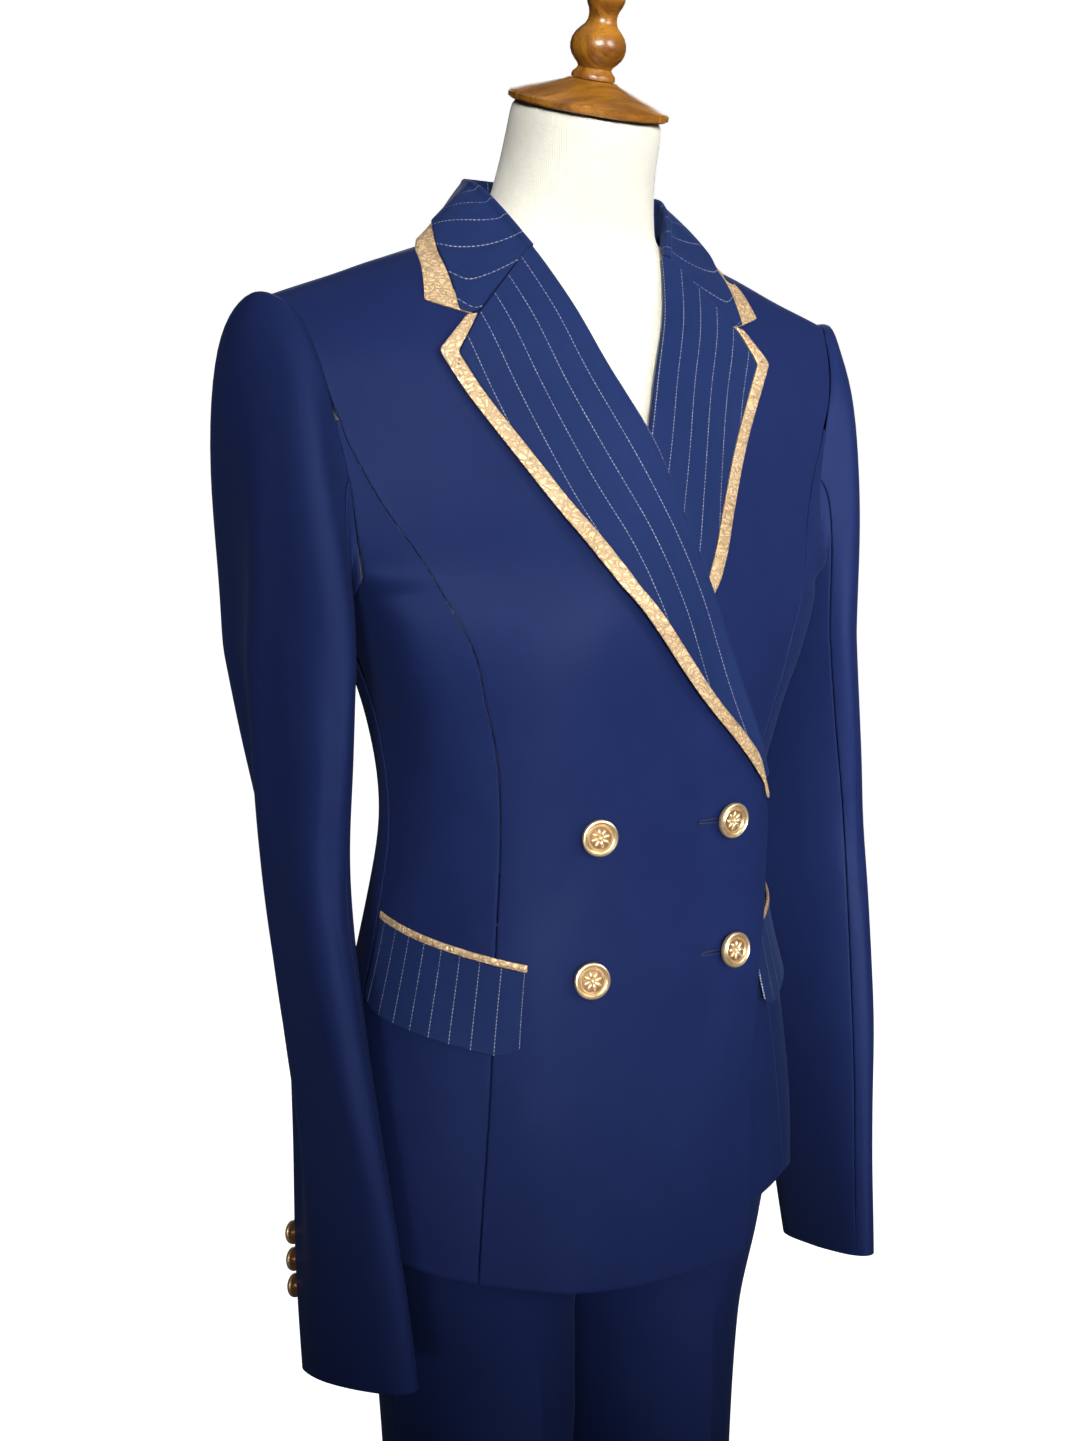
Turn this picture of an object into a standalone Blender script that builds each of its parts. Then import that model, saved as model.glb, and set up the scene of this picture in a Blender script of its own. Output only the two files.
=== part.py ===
"""Women's showmanship suit, a double-breasted jacket and creased trousers, on a limbless dress form.

Metres, +Z up.  The suit faces -Y and the wearer's left is +X.  The origin is on the floor, under the
middle of the round base.  Every cloth piece is a wall with its own outer and inner face.
"""
import math

import bmesh
import bpy
from mathutils import Matrix, Vector

# ---- Driving sizes ----
JACKET_WALL = 0.0020        # satin-faced wool with its fusing
LAPEL_WALL = 0.0015
TRIM_WALL = 0.0019          # metallic leather strip
TROUSER_WALL = 0.0012
SEAM = 0.0003               # between two pieces at a seam
OVERLAP_LIFT = 0.0068       # the right front stands this far off the left front it covers
LIFT_FADE = 0.050           # x over which it comes back down to the body
ROLL_LIFT = 0.005           # how much further the lapel's roll stands off above its break
EDGE_LIFT = 0.010           # how much further the front edge stands off at the waist
REST = 0.0015               # what lies on a front stands this far off it

UNDERARM = 1.215            # height of the lowest point of the armhole
SHOULDER_TIP = (0.196, 1.385)   # x and z of the outer end of the shoulder seam
SHOULDER_SLOPE = 0.36       # rise of the shoulder seam towards the neck
SHOULDER_ROUND = 0.03
NECK_POINT = 0.066          # x of the inner end of the shoulder seam
BREAK = (0.0735, 1.091)     # x and z where the lapel's roll line leaves the front edge
ROLL_CROSS = 1.298          # height where the two roll lines cross at centre front
ROLL_TOP = (0.0480, 1.4165)     # x and z of the roll line's upper end, at the gorge seam
NOTCH = (0.0890, 1.3750)
LAPEL_POINT = (0.1150, 1.3545)
LAPEL_TRIM = 0.0088         # width of the strip on a lapel's edge
LAPEL_TOP_TRIM = 0.0065     # x that the strip takes up at the notch
COLLAR_FOLD = 0.0026        # radius of the collar's fold line
COLLAR_BULGE = 0.003
COLLAR_NOTCH = 0.62         # part of the collar's front end where it leaves the gorge seam
COLLAR_TRIM_FROM = 0.80     # where across the fall the strip begins
LEFT_LAPEL_FROM = 0.40      # part of the roll line where the covered lapel ends, under the right front
FLAP_WALL = 0.0015
FLAP_HEIGHT = 0.050
WELT_HEIGHT = 0.0048
FLAP_TURNS = (35.8, 85.0)   # front and back end of a pocket flap
FLAP_TOP = (1.0055, 1.0275)   # height of its top edge at those ends
CENTRE_ROUND = 0.20         # share of the chest's half width over which its flat halves turn into each other
CORNER_START = 0.88             # share of the half width past which a front wraps round to the side
HEM_FRONT = 0.816
HEM_SIDE_RISE = 0.028       # how much higher the hem is at the side seam
PRINCESS_RISE = 0.57        # share of the armhole's height where the princess seam meets it
SIDE_TIP = 1.2              # degrees of turn left at the side panels' tips
BACK_NECK_RISE = 0.90       # where the back neckline lies at centre back
BACK_HEM_RISE = 0.012
COVERED_HEM_RISE = 0.022    # the left front is hitched up this much, from under the right front to the side
BODY_ROWS = 11
FRONT_SIDE, BACK_SIDE = 89.999, 90.001      # turns just in front of and behind the side seam
RIDGE_END = 0.99995         # the shoulder seam's rows stop this far up, half a seam from the ridge

BUTTON_RADIUS = 0.0108
BUTTONS = (("upper_right", -0.042, 1.083), ("upper_left", 0.0439, 1.085),
           ("lower_right", -0.048, 1.000), ("lower_left", 0.0459, 1.005))    # name, x and z
CUFF_BUTTON_RADIUS = 0.0073
CUFF_BUTTON_HEIGHTS = (0.8138, 0.8275, 0.8412)     # on the middle of the sleeve
CUFF_BUTTON_STEP = -4.2     # armhole step of the sleeve's line they stand on

TOP_SLEEVE = (-6, 6)        # armhole steps, from the shoulder tip, of the top sleeve's two seams
CAP_ROLL = (0.45, 0.70)             # how far the sleeve head rolls out before it falls
CAP_SPREAD = (0.45, 0.80)   # how far it spreads forward and back as it leaves the armhole
CAP_ROWS = 5
ARM_ROWS = 9
CUFF_SLANT = 0.24           # rise of the cuff towards its front

WAIST_TOP = 1.062
WAISTBAND = 0.032
CROTCH = 0.800
HIP = 0.865                 # below this height the two legs part
TROUSER_HEM = 0.065
CREASE = 0.004              # how far a pressed crease stands out
TROUSER_INSET = 0.0043      # trousers' outer face, inside the jacket's outer face

CAP_CENTRE = (0.0, -0.023, 1.500)
CAP_TILT = math.radians(18.4)
CAP_RADIUS = 0.048
BASE_RADIUS = 0.200
BASE_HEIGHT = 0.018
POLE_RADIUS = 0.0125
POLE_PLACE = (0.064, 0.012)     # inside the wearer's left trouser leg

PRINCESS_TOP = UNDERARM + PRINCESS_RISE * (SHOULDER_TIP[1] - UNDERARM)

# ---- Tables of sections ----
BODY_COLUMNS = ("height", "half_width", "front", "back", "roundness", "front_corner")
BODY = (
    (0.780, 0.160, 0.116, 0.122, 1.00, 0.000),
    (0.840, 0.160, 0.114, 0.123, 1.00, 0.000),
    (0.900, 0.157, 0.110, 0.120, 1.00, 0.000),
    (0.960, 0.149, 0.105, 0.112, 1.00, 0.000),
    (1.030, 0.134, 0.101, 0.094, 1.00, 0.000),
    (1.085, 0.1255, 0.100, 0.084, 1.00, 0.010),
    (1.140, 0.132, 0.103, 0.087, 0.95, 0.034),
    (1.190, 0.149, 0.109, 0.095, 0.85, 0.046),
    (1.215, 0.158, 0.110, 0.098, 0.70, 0.046),
)
CHEST_COLUMNS = ("rise", "armhole_x", "front", "front_armhole", "back", "back_armhole", "roundness")
CHEST = (
    (0.00, 0.158, 0.110, 0.000, 0.098, 0.000, 0.70),
    (0.06, 0.1635, 0.108, 0.046, 0.100, 0.046, 0.55),
    (0.20, 0.1645, 0.098, 0.0450, 0.103, 0.066, 0.25),
    (0.38, 0.1665, 0.086, 0.0415, 0.103, 0.072, 0.05),
    (0.57, 0.1730, 0.072, 0.0385, 0.098, 0.072, 0.00),
    (0.72, 0.1785, 0.0635, 0.0375, 0.091, 0.066, 0.00),
    (0.84, 0.1830, 0.0540, 0.0330, 0.084, 0.056, 0.00),
    (0.93, 0.1870, 0.0490, 0.0290, 0.078, 0.047, 0.00),
    (1.00, 0.1950, 0.0460, 0.0260, 0.074, 0.040, 0.00),
)
PRINCESS_COLUMNS = ("level", "front_turn", "back_turn")
PRINCESS = (
    (0.780, 45.0, 138.0),
    (0.820, 44.7, 138.0),
    (0.903, 42.5, 137.3),
    (0.955, 42.1, 137.0),
    (1.018, 43.7, 136.5),
    (1.075, 45.6, 136.0),
    (1.150, 48.7, 134.0),
    (1.184, 54.2, 132.0),
    (1.212, 64.6, 129.5),
    (1.237, 73.3, 125.5),
    (1.268, 82.8, 117.5),
    (1.300, 88.4, 103.0),
    (1.312, 88.8, 92.0),
)
SLEEVE_COLUMNS = ("height", "x", "y", "half_long", "outer_half", "inner_half", "toe")
SLEEVE = (
    (0.770, 0.1747, -0.0510, 0.0546, 0.0150, 0.0120, 10.0),
    (0.830, 0.1749, -0.0414, 0.0574, 0.0160, 0.0125, 6.0),
    (0.900, 0.1745, -0.0284, 0.0608, 0.0180, 0.0135, -1.5),
    (0.980, 0.1744, -0.0116, 0.0638, 0.0210, 0.0160, -9.0),
    (1.060, 0.1760, 0.0050, 0.0689, 0.0240, 0.0185, -11.0),
    (1.130, 0.1763, 0.0150, 0.0765, 0.0270, 0.0195, -5.0),
    (1.185, 0.1755, 0.0225, 0.0830, 0.0305, 0.0190, -1.5),
)
COLLAR_COLUMNS = ("along", "fold_x", "fold_y", "fold_z", "edge_x", "edge_y", "edge_z", "stand", "upright")
COLLAR = (
    (0.00, 0.0480, -0.0370, 1.4165, 0.1170, -0.0330, 1.3840, 0.002, 0.0),
    (0.25, 0.0600, -0.0200, 1.4390, 0.1115, -0.0170, 1.4060, 0.010, 0.6),
    (0.40, 0.0645, -0.0085, 1.4500, 0.1055, -0.0035, 1.4215, 0.018, 0.85),
    (0.50, 0.0655, 0.0010, 1.4550, 0.0940, 0.0110, 1.4230, 0.026, 1.0),
    (0.75, 0.0460, 0.0395, 1.4630, 0.0690, 0.0600, 1.4110, 0.036, 1.0),
    (1.00, 0.0000, 0.0590, 1.4660, 0.0000, 0.0870, 1.4060, 0.040, 1.0),
)
EDGE_COLUMNS = ("height", "edge_x")
EDGE = (
    (0.816, 0.0580),
    (0.859, 0.0600),
    (0.892, 0.0632),
    (0.938, 0.0662),
    (0.993, 0.0690),
    (1.053, 0.0745),
    (1.075, 0.0758),
    (1.091, 0.0735),
)
LAPEL_COLUMNS = ("height", "edge_x")
LAPEL = (
    (1.0910, -0.0735),
    (1.1066, -0.0622),
    (1.1375, -0.0357),
    (1.1753, -0.0032),
    (1.2091, 0.0231),
    (1.2256, 0.0366),
    (1.2575, 0.0555),
    (1.2996, 0.0810),
    (1.3327, 0.1025),
    (1.3545, 0.1150),
)
TROUSER_COLUMNS = ("height", "x", "half_width", "y", "front", "back")
TROUSERS = (
    (0.065, 0.0680, 0.0530, 0.016, 0.0820, 0.0860),
    (0.250, 0.0660, 0.0500, 0.014, 0.0770, 0.0800),
    (0.450, 0.0640, 0.0495, 0.012, 0.0740, 0.0770),
    (0.600, 0.0630, 0.0530, 0.012, 0.0760, 0.0800),
    (0.740, 0.0645, 0.0592, 0.012, 0.0800, 0.0895),
    (0.800, 0.0682, 0.0678, 0.010, 0.0860, 0.0985),
    (0.822, 0.0500, 0.0880, 0.005, 0.0920, 0.1065),
    (0.844, 0.0220, 0.1240, 0.002, 0.1010, 0.1130),
    (0.865, 0.0000, 0.1550, 0.000, 0.1078, 0.1180),
)
ARMHOLE_RISES = (0.0, 0.06, 0.20, 0.38, 0.57, 0.72, 0.84, 0.93, 0.98, 1.0)


def read(table, columns, name, at):
    """Value of a named column at a height, with a smooth curve between the table's rows."""
    spot = columns.index(name)
    if at <= table[0][0]:
        return table[0][spot]
    if at >= table[-1][0]:
        return table[-1][spot]
    row = max(i for i in range(len(table) - 1) if table[i][0] <= at)
    low, high = table[row], table[row + 1]
    before, after = table[max(row - 1, 0)], table[min(row + 2, len(table) - 1)]
    span = high[0] - low[0]
    start = (high[spot] - before[spot]) / (high[0] - before[0]) * span
    end = (after[spot] - low[spot]) / (after[0] - low[0]) * span
    t = (at - low[0]) / span
    return ((2 * t**3 - 3 * t**2 + 1) * low[spot] + (t**3 - 2 * t**2 + t) * start
            + (3 * t**2 - 2 * t**3) * high[spot] + (t**3 - t**2) * end)


def mix(low, high, part):
    """Value between low and high."""
    return low + (high - low) * part


def smooth(part):
    """Soft step from 0 to 1."""
    part = min(max(part, 0.0), 1.0)
    return part * part * (3 - 2 * part)


def shoulder_height(x):
    """Height of the shoulder seam at x, rounded over the middle of the body."""
    inward = math.hypot(SHOULDER_TIP[0], SHOULDER_ROUND) - math.hypot(x, SHOULDER_ROUND)
    return SHOULDER_TIP[1] + inward * SHOULDER_SLOPE


def side_share(turn, level):
    """How far across a half of the body a turn reaches: 0 at the centre, 1 at the side or armhole."""
    inward = min(abs(turn), 180 - abs(turn)) / 90
    straight = smooth((level - 1.15) / 0.10)
    return mix(math.sin(math.radians(90 * inward)), inward, straight)


def body_place(turn, level):
    """Point of the jacket's outer face, before any offset.

    Turn is in degrees: 0 at centre front, 90 at the wearer's left side, 180 at centre back.  Level is
    the height below the armhole; above it, the height of the same row at the armhole's edge.
    """
    share = side_share(turn, level)
    in_front = abs(turn) <= 90
    if level <= UNDERARM:
        width = read(BODY, BODY_COLUMNS, "half_width", level)
        depth = read(BODY, BODY_COLUMNS, "front" if in_front else "back", level)
        side = 0.0
        corner = read(BODY, BODY_COLUMNS, "front_corner", level) if in_front else 0.0
        roundness = read(BODY, BODY_COLUMNS, "roundness", level)
        x = width * share
        z = level
    else:
        rise = min((level - UNDERARM) / (SHOULDER_TIP[1] - UNDERARM), 1.0)
        ridge = math.sqrt(max(1 - rise**8, 0.0))
        width = read(CHEST, CHEST_COLUMNS, "armhole_x", rise)
        depth = read(CHEST, CHEST_COLUMNS, "front" if in_front else "back", rise) * ridge
        side = read(CHEST, CHEST_COLUMNS, "front_armhole" if in_front else "back_armhole", rise) * ridge
        corner = mix(BODY[-1][-1], side, smooth(rise / CHEST[1][0])) if in_front else side
        roundness = read(CHEST, CHEST_COLUMNS, "roundness", rise)
        x = width * share
        z = UNDERARM + (shoulder_height(x) - UNDERARM) * rise
    if not in_front:
        roundness = mix(roundness, 1.0, 0.6)
    straight = (math.hypot(share, CENTRE_ROUND) - CENTRE_ROUND) / (math.hypot(1, CENTRE_ROUND) - CENTRE_ROUND)
    fall = mix(straight, 1 - math.sqrt(max(1 - share**2, 0.0)), roundness)
    past = max((share - CORNER_START) / (1 - CORNER_START), 0.0)
    y = mix(depth, mix(side, corner, max(1 - past**3, 0.0) ** (1 / 3)), fall)
    return (math.copysign(x, math.sin(math.radians(turn))), -y if in_front else y, z)


def cross(a, b):
    """Cross product of two triples."""
    return (a[1] * b[2] - a[2] * b[1], a[2] * b[0] - a[0] * b[2], a[0] * b[1] - a[1] * b[0])


def moved_out(place, first, second, out):
    """Point of a surface moved out by a distance; first and second are a step along each way."""
    here = place(0.0, 0.0)
    along = [b - a for a, b in zip(here, place(first, 0.0))]
    up = [b - a for a, b in zip(here, place(0.0, second))]
    facing = cross(along, up)
    if first * second < 0:
        facing = tuple(-part for part in facing)
    length = math.sqrt(sum(part * part for part in facing))
    return Vector([a + out * part / length for a, part in zip(here, facing)])


def body(turn, level, out=0.0):
    """Point of the body surface moved out by a distance."""
    half = 90 * math.floor(turn / 90 + 1e-9)
    step = 0.05 if turn + 0.05 <= half + 90 else -0.05
    rise = 1e-5 if level + 1e-5 < SHOULDER_TIP[1] and not UNDERARM - 1e-5 < level <= UNDERARM else -1e-5
    return moved_out(lambda a, b: body_place(turn + a, level + b), step, rise, out)


def half_seam(turn, level):
    """Degrees of turn that half of a seam's gap takes up."""
    step = -0.05 if 89 < turn <= 90 else 0.05
    near, far = body_place(turn, level), body_place(turn + step, level)
    return SEAM / 2 / max(math.dist(near, far) / abs(step), 2e-4)


def level_at(x, z):
    """Level of the body surface at x and height z."""
    if z <= UNDERARM:
        return z
    rise = (z - UNDERARM) / (shoulder_height(x) - UNDERARM)
    return UNDERARM + rise * (SHOULDER_TIP[1] - UNDERARM)


def turn_at(x, level):
    """Turn, on the front, of the body surface at x."""
    low, high = 0.0, 90.0
    for _ in range(40):
        middle = (low + high) / 2
        if abs(body_place(middle, level)[0]) < abs(x):
            low = middle
        else:
            high = middle
    return math.copysign(low, x)


def front_at(x, z, out=0.0):
    """Point on the jacket's front at x and height z, moved out."""
    level = level_at(x, z)
    return body(turn_at(x, level), level, out)


# ---- Scene and helpers ----
for thing in list(bpy.data.objects):
    bpy.data.objects.remove(thing, do_unlink=True)
suit = bpy.data.collections.new("showmanship_suit")
bpy.context.scene.collection.children.link(suit)


def finish(name, color, roughness, metallic=0.0):
    """A plain material."""
    material = bpy.data.materials.new(name)
    material.use_nodes = True
    shader = material.node_tree.nodes["Principled BSDF"]
    shader.inputs["Base Color"].default_value = (*color, 1.0)
    shader.inputs["Roughness"].default_value = roughness
    shader.inputs["Metallic"].default_value = metallic
    return material


NAVY = finish("navy_satin_wool", (0.022, 0.030, 0.110), 0.55)
PINSTRIPE = finish("navy_pinstripe", (0.020, 0.042, 0.160), 0.65)
LEATHER = finish("tan_metallic_leather", (0.62, 0.36, 0.18), 0.45, 0.35)
GOLD = finish("gold_button", (0.90, 0.62, 0.30), 0.25, 1.0)
JERSEY = finish("cream_jersey", (0.78, 0.73, 0.60), 0.90)
WOOD = finish("honey_wood", (0.36, 0.14, 0.035), 0.40)


def add_object(name, mesh, material):
    """Turn a finished bmesh into a named object of the suit."""
    bmesh.ops.recalc_face_normals(mesh, faces=mesh.faces[:])
    if mesh.calc_volume(signed=True) < 0:
        bmesh.ops.reverse_faces(mesh, faces=mesh.faces[:])
    data = bpy.data.meshes.new(name)
    mesh.to_mesh(data)
    mesh.free()
    data.materials.append(material)
    data.shade_smooth()
    data.set_sharp_from_angle(angle=math.radians(40))
    thing = bpy.data.objects.new(name, data)
    suit.objects.link(thing)
    return thing


def cloth(name, place, columns, rows, material):
    """A cloth wall: a flat slab of columns by rows, each corner then moved to place(across, up, depth)."""
    mesh = bmesh.new()
    bmesh.ops.create_grid(mesh, x_segments=columns, y_segments=rows, size=0.5)
    inner = bmesh.ops.extrude_face_region(mesh, geom=mesh.faces[:], use_keep_orig=True)
    for item in inner["geom"]:
        if isinstance(item, bmesh.types.BMVert):
            item.co.z = -1.0
    for vertex in mesh.verts:
        vertex.co = place(vertex.co.x + 0.5, vertex.co.y + 0.5, -vertex.co.z)
    return add_object(name, mesh, material)


def pick(values, part):
    """Entry of an evenly indexed list at a part from 0 to 1."""
    return values[round(part * (len(values) - 1))]


def turned(name, profile, segments, material, matrix=None):
    """A turned solid from (radius, height) pairs that run from the bottom of its axis to the top."""
    mesh = bmesh.new()
    ring = [mesh.verts.new((radius, 0.0, height)) for radius, height in profile]
    edges = [mesh.edges.new(pair) for pair in zip(ring, ring[1:])]
    bmesh.ops.spin(mesh, geom=ring + edges, axis=(0, 0, 1), cent=(0, 0, 0),
                   steps=segments, angle=2 * math.pi, use_merge=True)
    bmesh.ops.remove_doubles(mesh, verts=mesh.verts[:], dist=1e-6)
    if matrix is not None:
        bmesh.ops.transform(mesh, matrix=matrix, verts=mesh.verts[:])
    return add_object(name, mesh, material)


def loft(name, rings, material):
    """A closed solid through rings of points, with a flat cap at each end."""
    mesh = bmesh.new()
    loops = []
    for ring in rings:
        corners = [mesh.verts.new(point) for point in ring]
        loops.append([mesh.edges.new(pair) for pair in zip(corners, corners[1:] + corners[:1])])
    for lower, upper in zip(loops, loops[1:]):
        bmesh.ops.bridge_loops(mesh, edges=lower + upper)
    for end in (loops[0], loops[-1]):
        bmesh.ops.contextual_create(mesh, geom=end)
    return add_object(name, mesh, material)


# ---- Jacket body ----
def roll_x(z):
    """How far past centre front a front reaches at height z: its edge, then its roll line and gorge."""
    if z <= BREAK[1]:
        return read(EDGE, EDGE_COLUMNS, "edge_x", z)
    if z <= ROLL_CROSS:
        return BREAK[0] * (1 - (z - BREAK[1]) / (ROLL_CROSS - BREAK[1])) ** 1.15
    if z <= ROLL_TOP[1]:
        return -ROLL_TOP[0] * (z - ROLL_CROSS) / (ROLL_TOP[1] - ROLL_CROSS)
    part = (z - ROLL_TOP[1]) / (shoulder_height(NECK_POINT) - ROLL_TOP[1])
    return -mix(ROLL_TOP[0], NECK_POINT, min(part, 1.0))


def outer_hem(turn):
    """Height of the jacket's hem at a turn."""
    side = min(abs(turn), 180 - abs(turn)) / 90
    return HEM_FRONT + HEM_SIDE_RISE * side**2 + BACK_HEM_RISE * smooth((abs(turn) - 60) / 120)


def covered_hem(turn):
    """Height of the left front's hem, which is shorter where the right front covers it."""
    return outer_hem(turn) + COVERED_HEM_RISE * (1 - smooth((turn - 40) / 35))


def right_lift(x, z):
    """How far the right fronts stand off the body surface, over the left front's edge."""
    edge = max(roll_x(z), 0.0) + 0.001
    roll = ROLL_LIFT * smooth((x + 0.01) / 0.06) * math.exp(-((z - BREAK[1] - 0.050) / 0.042) ** 2)
    edge_lift = EDGE_LIFT * smooth((x - 0.02) / 0.06) * smooth((z - 0.90) / 0.14) * (1 - smooth((z - 1.13) / 0.12))
    over = OVERLAP_LIFT * smooth((x + edge + LIFT_FADE) / LIFT_FADE) * (1 - smooth((z - ROLL_CROSS) / 0.10))
    return over + roll + edge_lift


def panel_rows(top_rise):
    """Rows of a panel: parts of the way from hem to underarm, then rises of the armhole up to top_rise."""
    below = [("part", i / BODY_ROWS) for i in range(BODY_ROWS)]
    return below + [("rise", rise) for rise in ARMHOLE_RISES if rise <= top_rise]


def row_level(row, turn, hem):
    """Level of one of panel_rows at a turn."""
    kind, value = row
    if kind == "part":
        return mix(hem(turn), UNDERARM, value)
    return UNDERARM + min(value, RIDGE_END) * (SHOULDER_TIP[1] - UNDERARM)


def seam_turn(level, column, limit):
    """Turn of a princess seam, always positive, or of the armhole above it."""
    if level > PRINCESS_TOP + 1e-4:
        return limit
    turn = read(PRINCESS, PRINCESS_COLUMNS, column, level)
    return min(turn, 90 - SIDE_TIP) if limit < 90 else max(turn, 90 + SIDE_TIP)


def side_panel(name, sign, column, limit, hem):
    """Side front or side back, from the side seam to the princess seam, with its tip at the armhole."""
    rows = panel_rows(PRINCESS_RISE)
    inward = -1 if limit < 90 else 1

    def place(across, up, depth):
        row = pick(rows, up)
        level = row_level(row, 44 if limit < 90 else 138, outer_hem)
        start = limit
        if row[0] == "part":
            start += inward * half_seam(limit, level)
        princess = read(PRINCESS, PRINCESS_COLUMNS, column, level)
        princess = min(princess, 90 - SIDE_TIP) if limit < 90 else max(princess, 90 + SIDE_TIP)
        turn = mix(start, princess - inward * half_seam(princess, level), across)
        level = row_level(row, turn, hem)
        x, _, z = body_place(turn * sign, level)
        lift = right_lift(x, z) if sign < 0 < inward * -1 else 0.0
        return body(turn * sign, level, lift - depth * JACKET_WALL)

    return cloth(name, place, 4, len(rows) - 1, NAVY)


def front_panel(name, sign, hem):
    """Centre front, from its edge and roll line to the princess seam, armhole and shoulder seam.

    Sign is -1 for the right front, which covers the left one.
    """
    rows = panel_rows(1.0)

    def place(across, up, depth):
        row = pick(rows, up)
        inner = 0.0
        for _ in range(8):
            level = row_level(row, inner, hem)
            inner = turn_at(-sign * roll_x(body_place(inner, level)[2]), level)
        level = row_level(row, 44, outer_hem)
        outer = seam_turn(level, "front_turn", FRONT_SIDE)
        outer -= half_seam(outer, level) if outer < FRONT_SIDE else 0.0
        turn = mix(inner, outer * sign, across)
        level = row_level(row, abs(turn) if turn * sign > 0 else 0.0, hem)
        x, _, z = body_place(turn, level)
        lift = right_lift(x, z) if sign < 0 else 0.0
        return body(turn, level, lift - depth * JACKET_WALL)

    return cloth(name, place, 12, len(rows) - 1, NAVY)


def back_panel(name, sign):
    """Half of the back, from the centre-back seam to the princess seam, armhole and shoulder seam."""
    rows = panel_rows(1.0)

    def place(across, up, depth):
        row = pick(rows, up)
        level = row_level(row, 138, outer_hem)
        outer = seam_turn(level, "back_turn", BACK_SIDE)
        outer += half_seam(outer, level) if outer > BACK_SIDE else 0.0
        turn = mix(180 - half_seam(170, level), outer, across)
        level = row_level(row, turn, outer_hem)
        past_neck = max(1 - body_place(turn, level)[0] / NECK_POINT, 0.0)
        if row[0] == "rise" and row[1] > 0.72:
            top = mix(1.0, BACK_NECK_RISE, past_neck**0.5)
            level = row_level(("rise", mix(0.72, top, (row[1] - 0.72) / 0.28)), turn, outer_hem)
        return body(turn * sign, level, -depth * JACKET_WALL)

    return cloth(name, place, 6, len(rows) - 1, NAVY)


for side, sign, hem in (("right", -1, outer_hem), ("left", 1, covered_hem)):
    front_panel(f"{side}_front", sign, hem)
    side_panel(f"{side}_side_front", sign, "front_turn", FRONT_SIDE, hem)
    side_panel(f"{side}_side_back", sign, "back_turn", BACK_SIDE, outer_hem)
    back_panel(f"{side}_back", sign)


# ---- Sleeves ----
def armhole_place(step):
    """Point of the armhole's edge and its body normal; step 0 is the shoulder tip, 9 the underarm."""
    last = len(ARMHOLE_RISES) - 1
    step = (step + last) % (2 * last) - last
    rise = ARMHOLE_RISES[last - abs(step)]
    level = UNDERARM + min(rise, RIDGE_END) * (SHOULDER_TIP[1] - UNDERARM)
    turn = FRONT_SIDE if step >= 0 else BACK_SIDE
    here = body(turn, level)
    return here, body(turn, level, 1.0) - here


def sleeve_section(step, height):
    """Point of the sleeve's outer face at a height; steps go round as they do on the armhole."""
    angle = math.radians(180 * step / (len(ARMHOLE_RISES) - 1))
    values = [read(SLEEVE, SLEEVE_COLUMNS, name, height) for name in SLEEVE_COLUMNS[1:]]
    x, y, half_long, outer_half, inner_half, toe = values
    across = math.cos(angle)
    forward = math.copysign(abs(math.sin(angle)) ** 0.9, math.sin(angle))
    thick = across * (outer_half if across > 0 else inner_half)
    tilt = math.radians(toe)
    place = Vector((x + thick * math.cos(tilt) - forward * half_long * math.sin(tilt),
                    y - thick * math.sin(tilt) - forward * half_long * math.cos(tilt), height))
    slant = CUFF_SLANT * smooth(1 - (height - SLEEVE[0][0]) / 0.15)
    place.z += slant * forward * half_long
    return place


def sleeve_place(step, down):
    """Point of the sleeve's outer face: down is 0 at the armhole, 1 at the first full section, 2 at the cuff."""
    if down > 1:
        return tuple(sleeve_section(step, mix(SLEEVE[-1][0], SLEEVE[0][0], down - 1)))
    low, high = math.floor(step), math.ceil(step)
    ends = [armhole_place(low), armhole_place(high)]
    seat, normal = (ends[0][i].lerp(ends[1][i], step - low) for i in (0, 1))
    last = len(ARMHOLE_RISES) - 1
    angle = math.radians(180 * step / last)
    leave = Vector((mix(0.55, 1.0, (1 + math.cos(angle)) / 2), -CAP_SPREAD[angle < 0] * math.sin(angle),
                    0.30 * math.cos(angle) - 0.55 * (1 - math.cos(angle)) / 2)).normalized()
    seat = seat + (normal * 2 + leave) * SEAM * 1.2
    goal = sleeve_section(step, SLEEVE[-1][0])
    drop = (seat - goal).length
    fall = (goal - sleeve_section(step, SLEEVE[-1][0] + 0.02)).normalized()
    fall = (fall + Vector((0, 0, -1.0))).normalized()
    t = down
    roll = mix(*CAP_ROLL, smooth(0.5 - math.sin(angle)))
    place = (seat * (2 * t**3 - 3 * t**2 + 1) + leave * drop * roll * (t**3 - 2 * t**2 + t)
             + goal * (3 * t**2 - 2 * t**3) + fall * drop * (t**3 - t**2))
    return tuple(place)


def sleeve_point(step, down, out):
    """Point of the left sleeve moved out, along the same way on both sides of a seam."""
    down_step = -1e-3 if down > 1.999 or 0.999 < down <= 1.0 else 1e-3
    near = round(step) - 0.2
    facing = moved_out(lambda a, b: sleeve_place(near + a, down + b), 0.4, down_step, 1.0)
    return Vector(sleeve_place(step, down)) + (facing - Vector(sleeve_place(near, down))) * out


def seam_side(step, down):
    """Way across a sleeve seam, in the surface and square to the seam, towards the next step."""
    here = Vector(sleeve_place(step, down))
    ahead = -1e-3 if down > 1.999 or 0.999 < down <= 1.0 else 1e-3
    line = (Vector(sleeve_place(step, down + ahead)) - here).normalized()
    side = line.cross(sleeve_point(step, down, 1.0) - here).normalized()
    return side if side.dot(Vector(sleeve_place(step + 0.3, down)) - here) > 0 else -side


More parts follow.
